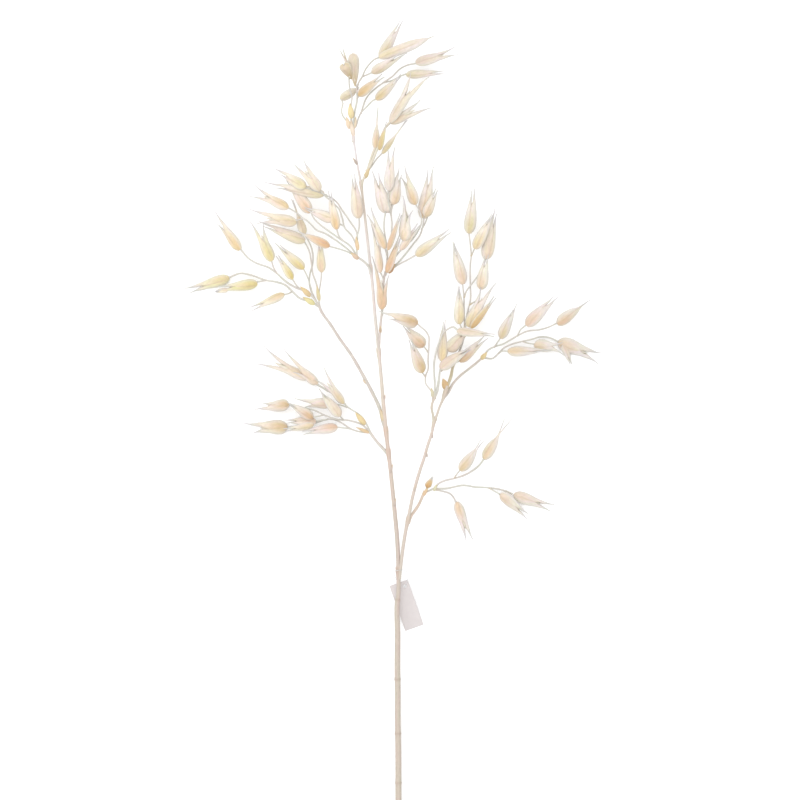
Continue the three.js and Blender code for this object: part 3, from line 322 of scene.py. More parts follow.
            [1.3, 1.1, [[42.5, 472, 44], [41, 482, 47], [39.5, 490, 51], [41, 498, 54], [44, 503, 56]]],
            [0.8, 0.7, [[41, 498, 54], [39, 511, 58], [32, 521, 60], [32, 530, 61], [35, 538, 62],
                [35, 550, 63], [36, 569, 65], [36, 579, 66], [32, 586, 67], [25, 592, 68], [21, 596, 68]]],
            [0.7, 0.7, [[35, 560, 64], [29, 568, 56]]],
            [0.7, 0.7, [[32, 529, 61], [26, 536, 68]]],
            [0.9, 0.9, [[43, 502, 56], [43.5, 519, 60], [42.5, 535, 64], [42.5, 545, 66], [45, 559, 69],
                [50, 575, 72], [54, 584, 73], [59, 588, 74], [66, 591, 75], [72, 587, 76]]],
            [0.8, 0.7, [[43, 502, 56], [48, 525, 60], [50, 538, 61], [54, 550, 62]]],
            [0.8, 0.7, [[43, 502, 56], [47, 510, 57], [48.5, 519, 59], [49.5, 531, 62], [51, 539.5, 66]]],
            [0.7, 0.7, [[51, 544, 61.5], [58, 556, 62], [61, 564, 60]]],
            [0.7, 0.7, [[51, 536, 55], [62, 543, 60], [75, 549, 58]]],
        ],
        "bracts": [
            [[42, 502, 54.5], [39, 515.5, 60], 5],
        ],
        "spikelets": [
            [[21, 596, 68], [-27, 611, 71], [-14, 601, 72], 17.5],
            [[29.5, 567.5, 56], [3.5, 592.5, 52], [6, 594, 58], 17.5],
            [[27.5, 535, 68], [11, 575, 74], [14, 576, 70], 17],
            [[72, 586, 76], [118, 582, 79], [117, 579, 73], 12],
            [[52.5, 549.5, 62], [56.5, 600, 60], [54, 597.5, 66], 13.5],
            [[61, 562, 60], [85.5, 587.5, 66], [82, 591, 62], 18],
            [[51, 540, 66], [89, 563, 62], [87.5, 566, 66], 16],
            [[75, 549, 58], [106, 581, 60], [110, 577, 56], 14.5],
        ],
    },
    "spray_right_up": {
        "twigs": [
            [1.7, 1.3, [[56.5, 509.5, 47.5], [60, 519, 45.5], [64, 531, 41], [66, 541, 39], [70, 550, 38]]],
            [0.9, 0.7, [[80, 578, 43], [82, 594, 40], [85, 612, 37], [88, 625, 37], [88, 644, 37],
                [88, 669, 37], [89, 681, 37], [88, 694, 37], [86, 710, 37]]],
            [0.7, 0.7, [[89, 680, 37], [94, 691, 44]]],
            [0.8, 0.7, [[80, 628, 41], [83, 636, 39.5], [88, 643, 38.5], [97.5, 655.5, 36], [104, 667.5, 35],
                [107.5, 677.5, 34]]],
            [0.7, 0.7, [[87, 619, 37], [98, 627, 42], [101, 640, 44]]],
            [0.8, 0.7, [[81, 590, 41], [80, 612, 40], [80, 628, 41], [78, 646, 42]]],
            [0.7, 0.7, [[80, 580, 43], [74, 598, 46]]],
            [0.7, 0.7, [[80, 580, 43], [82, 594, 44]]],
            [0.7, 0.7, [[80, 578, 43], [86, 586, 48], [90, 592, 54]]],
            # Painted light: this stretch of the stalk is listed with a root radius of 1, so that it takes the
            # paler twig colour, which lifts it where the spikelets above shade it.
            [1, 1, [[70, 550, 38], [74, 560, 42], [78, 571, 44], [80, 580, 43]]],
        ],
        "bracts": [
            [[59, 513, 44], [53.5, 527, 46], 9.5],
        ],
        "spikelets": [
            [[86.5, 709.5, 37], [89.5, 762.5, 34], [94, 767, 38], 16],
            [[94, 690, 44], [114.5, 732, 46], [117.5, 734, 42], 15],
            [[107.5, 677.5, 34], [119, 741, 30], [121, 733, 26], 18],
            [[101.5, 639.5, 44], [106, 680.5, 48], [111, 681.5, 46], 16],
            [[78.5, 646, 42], [66, 698, 44], [67.5, 697, 38], 16],
            [[74, 596, 46], [72.5, 642, 50], [74, 642, 46], 14.5],
            [[85.5, 592.5, 46], [101, 641, 48], [120.5, 646.5, 46], 17],
            [[89.5, 591, 54], [120.5, 628, 58], [117.5, 629.5, 54], 10],
        ],
    },
    "spray_right": {
        "twigs": [
            [1.3, 1.1, [[54, 502.5, 47], [59.5, 508, 43.5], [66, 520, 40], [75, 530, 38], [85, 538, 35],
                [94, 545, 32], [101, 551, 30], [105, 554, 29]]],
            [0.9, 0.7, [[104, 553, 29], [110, 562, 29], [119, 567, 28], [129, 570, 27], [138, 575, 26],
                [150, 582, 25], [159, 586, 24], [175, 588, 22], [188, 592, 20], [196, 596, 18]]],
            [0.9, 0.7, [[104, 553, 29], [116, 552, 25], [124, 559, 23], [130, 565, 21], [138, 569, 19],
                [156, 574, 15], [165, 576, 12], [175, 579, 9], [188, 578, 6], [200, 572, 5]]],
            [0.7, 0.7, [[118, 566, 28], [122, 572, 33], [126, 578, 36]]],
            [0.7, 0.7, [[147, 580, 25], [151, 588, 29], [158, 594, 32]]],
            [0.7, 0.7, [[123, 558, 23], [128, 561, 28], [136, 561, 30]]],
            [0.7, 0.7, [[154, 573.5, 15.5], [161, 571, 19], [169, 570, 21]]],
            [0.7, 0.7, [[200, 573, 6], [205, 568, 7]]],
        ],
        "bracts": [
            [[101.5, 551, 30], [109, 560, 34], 6],
        ],
        "spikelets": [
            [[126.5, 578, 36], [141.5, 613, 42], [146, 620, 40], 14],
            [[159, 594, 32], [192.5, 630, 34], [199, 629.5, 30], 17],
            [[198, 596, 18], [235, 623.5, 16], [239, 626, 12], 16],
            [[136, 561, 30], [180, 561, 30], [190, 562.5, 26], 14],
            [[169, 569, 21], [204, 572.5, 20], [205, 556, 22], 17],
            [[199.5, 572.5, 5.5], [252.5, 559, 2], [249, 545, 2], 20],
            [[205, 569, 9], [215.5, 545, 5], [213.5, 544.5, 7], 10.5],
        ],
    },
}

# Spikelets.
SPIKELET_THICKNESS = 0.62  # depth of a spikelet's body as a share of its width
SPIKELET_SINK = 1.2  # how far a spikelet's base reaches back over its pedicel
SPIKELET_ROLL = 0.4  # largest roll of a spikelet about its own axis, in radians
ROLL_STEP = 2.4  # turn between the rolls of one spikelet and the next, in radians
SPLIT_LOWEST, SPLIT_HIGHEST = 0.36, 0.62  # share of its length at which a spikelet's two husks part
SPLIT_SHUT, SPLIT_DROP = 0.65, 0.2  # the share for tips that meet, and its drop for each width between them
GLUME_HALF = 0.475  # a glume's widest half width as a share of its spikelet's width
GLUME_ROWS = 28
GLUME_OUTER = 25  # points across a glume's outer face
GLUME_INNER = 9  # points across its inner face
GLUME_THICKNESS = 0.17
GLUME_BEND = 0.16  # how far a glume may bow to one side or the other in all, as a share of its half width
AWN_RADIUS = 0.76
AWN_TIP = 0.48
AWN_POWER = 1.4  # of the share of the way, by which an awn leaves the spikelet's axis
VEINS = 5
VEIN_RELIEF = 0.011  # height of a vein as a share of the glume's radius
LAP = 0.085  # how far a lapped glume's edges draw in under the other's, as a share of its radius
LAP_FROM, LAP_TO = np.radians(62), np.radians(96)  # turn from the keel over which they draw in
WRAP_LOW, WRAP_HIGH = 106, 172  # how far a glume wraps each way from its keel, open and closed, degrees
WRAP_BASE = 12  # how much further it wraps at its base, degrees
CLOSE_LATEST = 0.62  # furthest share of its length at which it starts to close round its own line
INNER_SHARE = 0.97  # how much of the outer arc of a husk or bract its inner arc spans
PAPER_CLEARANCE = 0.02  # least height of husks and bracts above the surface
FLORET_CLEARANCE = 0.25  # least height of the grains above it
FLORET_ROWS = 14
FLORET_SIDES = 10
FLORET_START, FLORET_SPAN = 0.03, 0.66  # a grain's start and its length, as shares of its spikelet's
FLORET_FULLNESS, FLORET_DEPTH = 0.6, 0.8  # factors on the grain's width and on its depth
FLORET_LEAST = 0.05  # what is added to its radius, so that its ends aren't points
SHADE_SPREAD = np.array([0.05, 0.06, 0.13])  # how far a husk's red, green and blue vary from one to the next

# Shapes of a husk: shares of its length, and its half width there as a share of the widest.
HUSK_SHAPES = {
    "plain": ([-0.1, -0.055, -0.03, 0, 0.04, 0.09, 0.15, 0.22, 0.3, 0.38, 0.46, 0.55, 0.64, 0.72, 0.8,
               0.89, 1],
              [0.08, 0.14, 0.28, 0.5, 0.73, 0.88, 0.97, 1, 0.98, 0.92, 0.84, 0.73, 0.6, 0.45, 0.27, 0.1, 0]),
    "beaked": ([-0.1, -0.03, 0, 0.05, 0.12, 0.22, 0.34, 0.44, 0.52, 0.6, 1],
               [0.08, 0.3, 0.52, 0.8, 0.97, 1, 0.86, 0.6, 0.3, 0.08, 0]),
    "drawn": ([-0.1, -0.055, -0.03, 0, 0.04, 0.09, 0.15, 0.22, 0.34, 0.46, 0.56, 0.66, 0.75, 1],
              [0.08, 0.14, 0.28, 0.5, 0.73, 0.88, 0.97, 1, 0.93, 0.78, 0.58, 0.3, 0.1, 0]),
    "leafy": ([-0.1, -0.03, 0, 0.05, 0.1, 0.2, 0.4, 0.6, 0.7, 0.8, 0.88, 0.92, 1],
              [0.08, 0.22, 0.45, 0.7, 0.84, 0.95, 1, 0.93, 0.78, 0.5, 0.2, 0.06, 0]),
    "blunt": ([-0.1, -0.03, 0, 0.05, 0.12, 0.25, 0.45, 0.65, 0.8, 0.9, 0.96, 1],
              [0.08, 0.22, 0.5, 0.76, 0.92, 1, 0.96, 0.84, 0.68, 0.5, 0.32, 0]),
    "cup": ([-0.1, -0.03, 0, 0.08, 0.2, 0.35, 0.5, 0.65, 0.77, 0.87, 0.94, 0.98, 1],
            [0.04, 0.08, 0.14, 0.3, 0.5, 0.7, 0.86, 0.97, 1, 0.92, 0.72, 0.46, 0]),
}

# Twigs, and the sheath bracts on them.
TWIG_SIDES = 10
TWIG_SPACING = 2.2
TWIG_FULLNESS = 1.32  # how much stouter the paper makes a twig than its wire
TWIG_FLARE, FLARE_REACH = 0.35, 2.5  # the flare at a twig's root, and how far up it dies off
TWIG_SWELLING, SWELLING_REACH = 0.25, 1.6  # the swelling at its end, in the same way
TWIG_WAVE, WAVE_REACH = 0.05, 3.1  # its slight thick and thin, and the way along it for one radian of that
STALK_FROM, STALK_FULL = 1.0, 1.12  # root radii between which a twig takes on its stalk's colour
STALK_TINT_REACH = 9  # how far up from a root the stalk's colour reaches
SHEATH_ROWS = 16
SHEATH_WRAP, NUB_WRAP = 125, 178  # how far a bract or a nub wraps on each side of its keel, degrees
SHEATH_SHAPE = ([0, 0.12, 0.3, 0.5, 0.65, 0.85, 1], [0.45, 0.8, 1, 0.9, 0.72, 0.36, 0.05])
SHEATH_DEPTH = 0.62  # depth of its section as a share of its width
SHEATH_THICKNESS = 0.2

# Stems.
STEM_SIDES = 24
STEM_SPACING = 1.2
STEM_RIBS = 9
RIB_RELIEF, RIB_TWIST = 0.012, 0.02  # height as a share of the radius, and turn in radians for each mm
SLEEVE_JOINTS = [20, 82, 150, 250]  # heights at which one stem sleeve ends and the next begins
JOINT_HEIGHT, JOINT_REACH = 0.45, 1.8  # of the raised ring at a joint
STEM_GRAIN = 3  # radius at which the fibres of the stems' skins are laid out
COLLAR_FULLNESS = 0.55  # how much of its listed swelling a collar's paper shows

CREASE_ANGLE = 50  # least angle between two faces that shows as a sharp edge, degrees

# How much brighter the light is than one that shows colours as they are, in red, green and blue.
LIGHT_EXCESS = np.array([1.297, 1.282, 1.252])


def linear(code):
    """A colour in linear light from its six-digit code: each channel c is ((c + 0.055) / 1.055) to the
    power 2.4, or c / 12.92 when it is small. The codes are as seen in the bright light, so each channel
    is then divided by the light's excess."""
    channels = np.array([int(code[i:i + 2], 16) for i in (1, 3, 5)]) / 255
    return np.where(channels <= 0.04045, channels / 12.92, ((channels + 0.055) / 1.055) ** 2.4) / LIGHT_EXCESS


def unit(vectors):
    """Each vector divided by its own length."""
    return vectors / np.linalg.norm(vectors, axis=-1, keepdims=True)


def ramp(values, low, high):
    """0 below low, 1 above high, and 3t^2 - 2t^3 between them, where t is the share of the way."""
    share = np.clip((values - low) / (high - low), 0, 1)
    return share * share * (3 - 2 * share)


def blend(one, other, share):
    """One colour going to another by a share, which may be an array over the skin."""
    share = np.asarray(share)[..., None]
    return one * (1 - share) + other * share


def on_grid(*values):
    """Values that are each spread over the same grid and stacked as the coordinates of its points."""
    return np.stack(np.broadcast_arrays(*values), -1)


def circle(sides):
    """The angles of a ring's points, even all the way round."""
    return 2 * np.pi * np.arange(sides) / sides


def smooth_line(places, spacing, looped=False):
    """A smooth line through places, at steps of about the spacing. Between two places it is the cubic in
    the length travelled that takes its slope at each place from the two stretches there, each weighted by
    the other's length."""
    places = np.array(places, float)
    if looped:
        places = np.vstack([places[-2:], places, places[:3]])
    steps = np.linalg.norm(np.diff(places[:, :3], axis=0), axis=1)
    travelled = np.r_[0, np.cumsum(steps)]
    slopes = np.diff(places, axis=0) / steps[:, None]
    before, after = steps[:-1, None], steps[1:, None]
    inner = (slopes[:-1] * after + slopes[1:] * before) / (before + after)
    tangents = np.vstack([slopes[:1], inner, slopes[-1:]])
    first, last = (travelled[2], travelled[-3]) if looped else (0, travelled[-1])
    count = max(int((last - first) / spacing) + 2, 4)
    at = np.linspace(first, last, count)[:-1 if looped else None]
    i = np.clip(np.searchsorted(travelled, at, side="right") - 1, 0, len(steps) - 1)
    h = steps[i][:, None]
    t = (at - travelled[i])[:, None] / h
    line = ((2 * t**3 - 3 * t**2 + 1) * places[i] + (t**3 - 2 * t**2 + t) * h * tangents[i]
            + (3 * t**2 - 2 * t**3) * places[i + 1] + (t**3 - t**2) * h * tangents[i + 1])
    return line, at - first


def headings(line, looped=False):
    """The direction of a line at each point, from the point before it to the point after it."""
    behind, ahead = np.roll(line, 1, axis=0), np.roll(line, -1, axis=0)
    if not looped:
        behind[0], ahead[-1] = line[0], line[-1]
    return unit(ahead - behind)


def across(along):
    """The level direction square to each heading, and the direction square to both, which points up."""
    side = unit(np.cross(along, UP))
    return side, np.cross(side, along)


def swept(line, radius, sides, looped=False):
    """Rings about a line: the point of a ring at angle a is its radius times sin(a) to the side and times
    cos(a) upwards. The radius is one number for each ring, or one for each ring and angle."""
    side, up = across(headings(line, looped))
    angle = circle(sides)
    radius = np.broadcast_to(np.reshape(radius, (len(line), -1)), (len(line), sides))
    return (line[:, None] + side[:, None] * (radius * np.sin(angle))[..., None]
            + up[:, None] * (radius * np.cos(angle))[..., None])


def grid_faces(rows, columns, looped):
    """Corner numbers of a skin: a four-sided face between each two rings and each two neighbours on them,
    all the way round, and, where the skin isn't looped, a fan at each end round the pole point that
    follows the rings."""
    here = np.arange(columns)
    beside = (here + 1) % columns
    low = np.arange(rows if looped else rows - 1)[:, None] * columns
    high = (low + columns) % (rows * columns)
    quads = np.stack([low + here, low + beside, high + beside, high + here], -1).reshape(-1, 4).tolist()
    if looped:
        return quads
    first, last = np.full(columns, rows * columns), np.full(columns, rows * columns + 1)
    end = (rows - 1) * columns
    fans = np.vstack([np.stack([first, beside, here], -1), np.stack([last, end + here, end + beside], -1)])
    return quads + fans.tolist()


def make_piece(name, skins, finish, node):
    """One object from several skins, which stands for a node. A skin is a grid of points, a grid of
    colours, a grid of grain coordinates and whether its last ring meets its first. Where it doesn't, each
    end closes on a pole at the mean of its ring."""
    stacks, corners, count = ([], [], []), [], 0
    for points, colours, grains, looped in skins:
        rows, columns = points.shape[:2]
        corners.append([[c + count for c in face] for face in grid_faces(rows, columns, looped)])
        for stack, values in zip(stacks, (points, colours, grains)):
            values = np.broadcast_to(values, points.shape)
            stack.append(values.reshape(-1, 3))
            if not looped:
                stack.append(np.stack([values[0].mean(0), values[-1].mean(0)]))
        count += rows * columns + (0 if looped else 2)
    places, tints, grains = (np.vstack(stack) for stack in stacks)
    mesh = bpy.data.meshes.new(name)
    mesh.from_pydata((places - LAYOUT_CENTRE) * MM, [], [face for skin in corners for face in skin])
    tint = mesh.color_attributes.new("tint", "FLOAT_COLOR", "POINT")
    tint.data.foreach_set("color", np.c_[tints, np.ones(len(tints))].astype(np.float32).ravel())
    grain = mesh.attributes.new("grain", "FLOAT_VECTOR", "POINT")
    grain.data.foreach_set("vector", grains.astype(np.float32).ravel())
    mesh.shade_smooth()
    mesh.set_sharp_from_angle(angle=math.radians(CREASE_ANGLE))
    mesh.materials.append(finish)
    made = bpy.data.objects.new(name, mesh)
    bpy.context.scene.collection.objects.link(made)
    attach(made, "root")
    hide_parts(node)


# Colours, as they are seen in the bright light.
HUSK_TINTS = {
    "spray_low_left": "#e8ddd4", "spray_left": "#ede4cc", "spray_centre": "#ece4dc",
    "spray_upper_left": "#f0e4d9", "spray_upper_right": "#e8e1d6", "spray_top": "#e8dfd5",
    "spray_low_right": "#e7dfd9", "spray_middle": "#e6d9cd", "spray_right_up": "#ece6db",
    "spray_right": "#e4dcd7",
}
HUSK_CORES = [linear(code) for code in ("#e8c398", "#e4cb96", "#d9cb9f", "#e4c6ae")]
# Painted light: a cool grey for the sideways-facing sides of a husk, standing for how the light falls off
# round them.
HUSK_SIDE_PAINTED_LIGHT = linear("#e5e4de")
HUSK_SEAM = linear("#ccb89f")
# Painted light: a near-white laid over a husk's inner face, which lifts the shade in the hollow between
# parted husks, as light through the thin paper would.
HUSK_INSIDE_PAINTED_LIGHT = linear("#fbf6ee")
HUSK_TIP = linear("#e0dad1")
AWN_TINT = linear("#d2d0cf")
FLORET_TINT = linear("#e9e2d4")
SHEATH_TIP = linear("#dcc59c")
TWIG_TINT = linear("#d3cfc4")
STALK_TINTS = {
    "spray_low_left": "#d1cbbf", "spray_left": "#cfc7bc", "spray_centre": "#d3cabf",
    "spray_upper_left": "#e2dcd3", "spray_upper_right": "#e1d7c5", "spray_top": "#dad1c6",
    "spray_low_right": "#d8c8b4", "spray_middle": "#d4c9b8", "spray_right_up": "#cfc1a4",
    "spray_right": "#d2c8bc",
}
STEM_RING = linear("#b9a796")
COLLAR_SHADE = np.array([0.97, 0.9, 0.82])  # what a collar's colour keeps of its stem's
NUB_TINT = linear("#c6b7aa")
CARD_TINT = linear("#dad2cf")
LOOP_TINT = linear("#f6f8f8")

# A stem's colours by their heights.
STEM_TINTS = {
    "main_stem": {0: "#c8bcab", 330: "#cbbdb0", 450: "#d4c2b3", 500: "#d9cabb", 560: "#ddd3c8",
                  690: "#e5dcd6", 750: "#e1d6c6", 810: "#dfd8d7"},
    "right_stem": {330: "#d2c6b8", 450: "#d6c9bc", 520: "#d6cabc"},
}

# The colours of each spray's sheath bracts, in their order.
SHEATH_TINTS = {
    "spray_low_left": ["#dcc2a0", "#e4d0a4"],
    "spray_left": ["#e2d9a6", "#e0c8a0", "#dfd2ac", "#dccbb8", "#dccbae"],
    "spray_centre": ["#caa680", "#c9b29c"],
    "spray_upper_left": ["#dec6b0", "#ead0ae"],
    "spray_upper_right": ["#dcc8a4"],
    "spray_top": ["#ecdcb0", "#ecd8c2", "#f0dfca", "#ecdccf"],
    "spray_low_right": ["#e0c6a4", "#dcd8bc"],
    "spray_middle": ["#d4ccb6"],
    "spray_right_up": ["#dcbd92"],
    "spray_right": ["#e6d2a2"],
}

# The tables below hold what single spikelets have of their own, and some painted light, by spray and
# by their order in it.
# Husks of another colour than the rest of their spray, some of them painted lighter where other husks shade
# them:
OWN_TINTS_AND_PAINTED_LIGHT = {
    # Painted light: husks 7 and 8 of spray_left are lifted paler here, where the husks above shade them.
    "spray_left": {0: "#e8e0c0", 1: "#e8dfb8", 7: "#ece0ca", 8: "#ebe0cf"},
    # Painted light: husks 9 and 11 of spray_centre are lifted paler, against the shade of the husks that
    # overlap them.
    "spray_centre": {9: "#e2ccb4", 11: "#e2cab2", 13: "#e4ccb4"},
    "spray_upper_left": {0: "#e6ccb2"},
    "spray_upper_right": {1: "#dccaa2"},
    "spray_top": {0: "#e4dad2", 3: "#e0cfb4", 8: "#dfd2bc", 9: "#dccdb2", 10: "#e4d8c8"},
    "spray_low_right": {5: "#dcbf98"},
    "spray_right_up": {7: "#e0caa6"},
}

# Colours of the middles of husks, where they aren't drawn from HUSK_CORES; some are painted lighter where
# other husks shade them:
OWN_CORES_AND_PAINTED_LIGHT = {
    "spray_low_left": {0: "#d4b686", 1: "#d2aa78", 4: "#d4b684", 7: "#dfbe9c", 8: "#d8c690",
                       9: "#e4cdb4", 10: "#e2ccb0"},
    "spray_left": {0: "#e0cf9e", 1: "#dcc88c", 2: "#d8bf90", 3: "#e2c58c", 4: "#e2cf90",
                   # Painted light: cores 7 and 8 of spray_left are lifted paler, where the husks above shade
                   # them.
                   5: "#e0c878", 6: "#dcc67e", 7: "#e4d8ba", 8: "#e2d6b8"},
    # Painted light: cores 3, 9, 11 and 13 of spray_centre are lifted paler, against the shade of the
    # overlapping husks.
    "spray_centre": {0: "#e4d8cc", 1: "#e4d8cc", 2: "#e8c8a4", 3: "#e0c094", 4: "#e2c9a0",
                     5: "#dcc3a0", 6: "#e6cfb4", 8: "#e0be94", 9: "#d4b08c", 10: "#e8ccae",
                     11: "#d8ae84", 12: "#dcc294", 13: "#e2be9a", 14: "#e4d8cc"},
    # Painted light: core 6 of spray_upper_left is lifted paler, where the husks above shade it.
    "spray_upper_left": {0: "#d8a678", 1: "#dccba2", 3: "#e6c096", 4: "#e2d6a4", 6: "#e4d8b4",
                         7: "#e8d4ba", 8: "#e4bd82"},
    "spray_upper_right": {0: "#e8c49a", 1: "#d2b884", 2: "#e0cc94", 3: "#dccbbb"},
    "spray_top": {1: "#e2d4ac", 2: "#d6c2a4", 3: "#d2b07c", 4: "#dcc48e", 5: "#dfd6b0",
                  6: "#e2cfc0", 8: "#d2bf98", 9: "#c9b384"},
    "spray_low_right": {0: "#dac48e", 1: "#e0c89c", 2: "#e2cbb4", 3: "#e0cdb4", 4: "#e3c6a4",
                        5: "#c8955a"},
    # Painted light: core 6 of spray_middle is lifted paler, where the husks above shade it.
    "spray_middle": {0: "#c9a67a", 1: "#d6ae84", 2: "#d6b884", 3: "#dfccb8", 4: "#e8d2a0",
                     5: "#dccdb8", 6: "#e2cfbe", 7: "#d4b078"},
    "spray_right_up": {1: "#dcc38c", 2: "#e6cdb6", 3: "#e4c8ac", 4: "#e2c4a6", 5: "#ecdcaa",
                       6: "#e6d098", 7: "#cfa76c"},
    "spray_right": {0: "#d8c294", 1: "#e0c0a0", 2: "#dfbc98", 3: "#e0c79a", 4: "#dcc6a4",
                    5: "#dec6a6"},
}

# Husks of another shape than the plain one:
SHAPED = {
    "spray_left": {7: "beaked", 10: "blunt"},
    "spray_upper_right": {0: "beaked", 2: "beaked", 3: "leafy"},
    "spray_top": {1: "leafy", 8: "cup", 9: "cup", 10: "leafy"},
    "spray_low_right": {0: "drawn", 1: "beaked"},
    "spray_right": {2: "drawn"},
}

# The share of its length at which a spikelet parts, where it isn't worked out from its tips:
PARTED = {
    "spray_centre": {6: 0.6, 13: 0.36},
    "spray_upper_left": {0: 0.8, 4: 0.5, 5: 0.36},
    "spray_upper_right": {0: 0.46, 3: 0.5, 4: 0.36},
    "spray_top": {1: 0.9, 8: 0.9, 9: 0.8, 10: 0.9},
    "spray_low_right": {0: 0.62, 1: 0.55, 4: 0.45},
    "spray_right": {2: 0.66, 4: 0.6},
}

# Every random draw comes from here, in the order in which the pieces are made.
draws = np.random.default_rng(7)


def spikelet_frame(base, tip, second_tip, order):
    """A spikelet's own directions: along it from its base to the middle of its two tips, across it and
    up, rolled about its axis by the sine of its order in the spray. Gives the base, the directions and
    both tips."""
    foot, tips = np.array(base, float), np.array([tip, second_tip], float)
    along = unit(tips.mean(0) - foot)
    side, up = across(along)
    roll = SPIKELET_ROLL * math.sin(ROLL_STEP * order)
    side, up = side * math.cos(roll) + up * math.sin(roll), up * math.cos(roll) - side * math.sin(roll)
    return foot, (side, along, up), tips


def glume(base, hand, tip, half, bend, shape, lapped, split, directions, tint, core, warmth, seed):
    """One of a spikelet's two papery husks, as a thin shell carried along the spikelet. Its section is an
    arc of an oval that wraps past the spikelet's middle low down. Past the split it closes round a line
    of its own, which leaves the axis as the share of the way to its tip to the power 1.4, and becomes the
    awn. It bows to one side by half a sine wave. Veins lift the outer face by a cosine across the arc,
    and where the glume is lapped its edges draw in. The inner face is the same arc, one thickness in. The
    colour goes from the core's at the base to the tip's and the awn's, darker at the edges. Painted light
    is laid on it too: a grey on the sides that face sideways, for the light's fall-off there, and a near
    white on the inner face, which lifts the shade between the parted husks."""
    side, along, up = directions
    reach = np.array([(tip - base) @ side, (tip - base) @ along, (tip - base) @ up])
    p = np.linspace(0, 1, GLUME_ROWS) ** 1.2
    p = -SPIKELET_SINK / reach[1] + p * (1 + SPIKELET_SINK / reach[1])
    width = half * np.interp(p, *HUSK_SHAPES[shape])
    parted = 0.5 * ramp(p, split - 0.06, split + 0.12)
    awn = (AWN_RADIUS + (AWN_TIP - AWN_RADIUS) * ramp(p, 0.75, 1.0)) * ramp(p, 0.3, 0.7)
    radius = np.sqrt((width * (1 - parted))**2 + awn**2)
    depth = np.sqrt((width * SPIKELET_THICKNESS * (1 - parted))**2 + awn**2)
    away = np.clip((p - split) / (1 - split), 0, 1) ** AWN_POWER
    bow = bend * half * np.sin(np.pi * np.clip(p, 0, 1))
    centre = (base + np.outer(p * reach[1], along)
              + np.outer(hand * width * parted + reach[0] * away + bow, side)
              + np.outer(reach[2] * away, up))
    closing = ramp(p, min(split, CLOSE_LATEST), min(split, CLOSE_LATEST) + 0.25)
    wrap = WRAP_LOW + WRAP_BASE * (1 - ramp(p, 0, 0.2)) + (WRAP_HIGH - WRAP_LOW) * closing
    wrap = np.radians(wrap)[:, None]
    lapping = lapped * (1 - ramp(p, split, split + 0.16))[:, None]

    def face(share, inset, vein_relief):
        """The section's arc at shares across it from -1 to 1, set in from the outermost face."""
        turn = share * wrap
        tucked = 1 - LAP * ramp(np.abs(turn), LAP_FROM, LAP_TO) * lapping
        relief = 1 + vein_relief * np.cos(np.pi * VEINS * share) * ramp(p, 0, 0.1)[:, None]
        wide = (radius - inset)[:, None] * tucked * relief * np.sin(hand * np.pi / 2 + turn)
        deep = (depth - inset)[:, None] * tucked * relief * np.cos(hand * np.pi / 2 + turn)
        return centre[:, None] + side * wide[..., None] + up * deep[..., None]

    outer_share = np.linspace(-1, 1, GLUME_OUTER)[None]
    inner_share = np.linspace(INNER_SHARE, -INNER_SHARE, GLUME_INNER)[None]
    thickness = np.minimum(GLUME_THICKNESS, 0.4 * np.minimum(radius, depth))
    points = np.concatenate([face(outer_share, 0, VEIN_RELIEF), face(inner_share, thickness, 0)], 1)
    points[..., 2] = np.maximum(points[..., 2], PAPER_CLEARANCE)

    share = np.concatenate([outer_share, inner_share], 1)
    rows = p[:, None]
    edge = np.abs(np.sin(hand * np.pi / 2 + share * wrap))
    slim = p[np.argmax(width)] + 0.3
    # Painted light: the sides that face sideways go part way to a cool grey, for the light's fall-off there.
    colour = blend(tint, HUSK_SIDE_PAINTED_LIGHT, 0.6 * ramp(edge, 0.5, 1.0))
    colour = blend(colour, core, warmth * (1 - ramp(rows, 0.12, 0.6)) * (1 - 0.8 * ramp(edge, 0.3, 0.95)))
    colour = blend(colour, HUSK_TIP, 0.75 * ramp(rows, slim, slim + 0.25))
    colour = blend(colour, HUSK_SEAM, 0.5 * ramp(np.abs(share), 0.8, 0.96) * ramp(rows, -0.05, 0.08))
    colour = blend(colour, AWN_TINT, ramp(rows, slim + 0.15, slim + 0.35))
    # Painted light: the inner faces go most of the way to near-white, lifting the shade between the parted
    # husks.
    colour[:, GLUME_OUTER:] = blend(colour[:, GLUME_OUTER:], HUSK_INSIDE_PAINTED_LIGHT, 0.8)
    return points, colour, on_grid(share * wrap * radius[:, None], rows * reach[1], seed), False


def floret(base, half, length, directions, tint, seed):
    """The slim grain inside a spikelet: oval rings on its axis, whose radius is the sine of the share of
    the way to the power 0.8, less half that share of itself."""
    side, along, up = directions
    share = np.linspace(0, 1, FLORET_ROWS)[:, None]
    radius = FLORET_FULLNESS * half * np.sin(np.pi * share) ** 0.8 * (1 - 0.5 * share) + FLORET_LEAST
    angle = circle(FLORET_SIDES)
    points = (base + ((FLORET_START + FLORET_SPAN * share) * length * along)[:, None]
              + side * (radius * np.sin(angle))[..., None]
              + up * (FLORET_DEPTH * radius * np.cos(angle))[..., None])
    points[..., 2] = np.maximum(points[..., 2], FLORET_CLEARANCE)
    return points, tint, on_grid(angle * half, share * length, seed), False


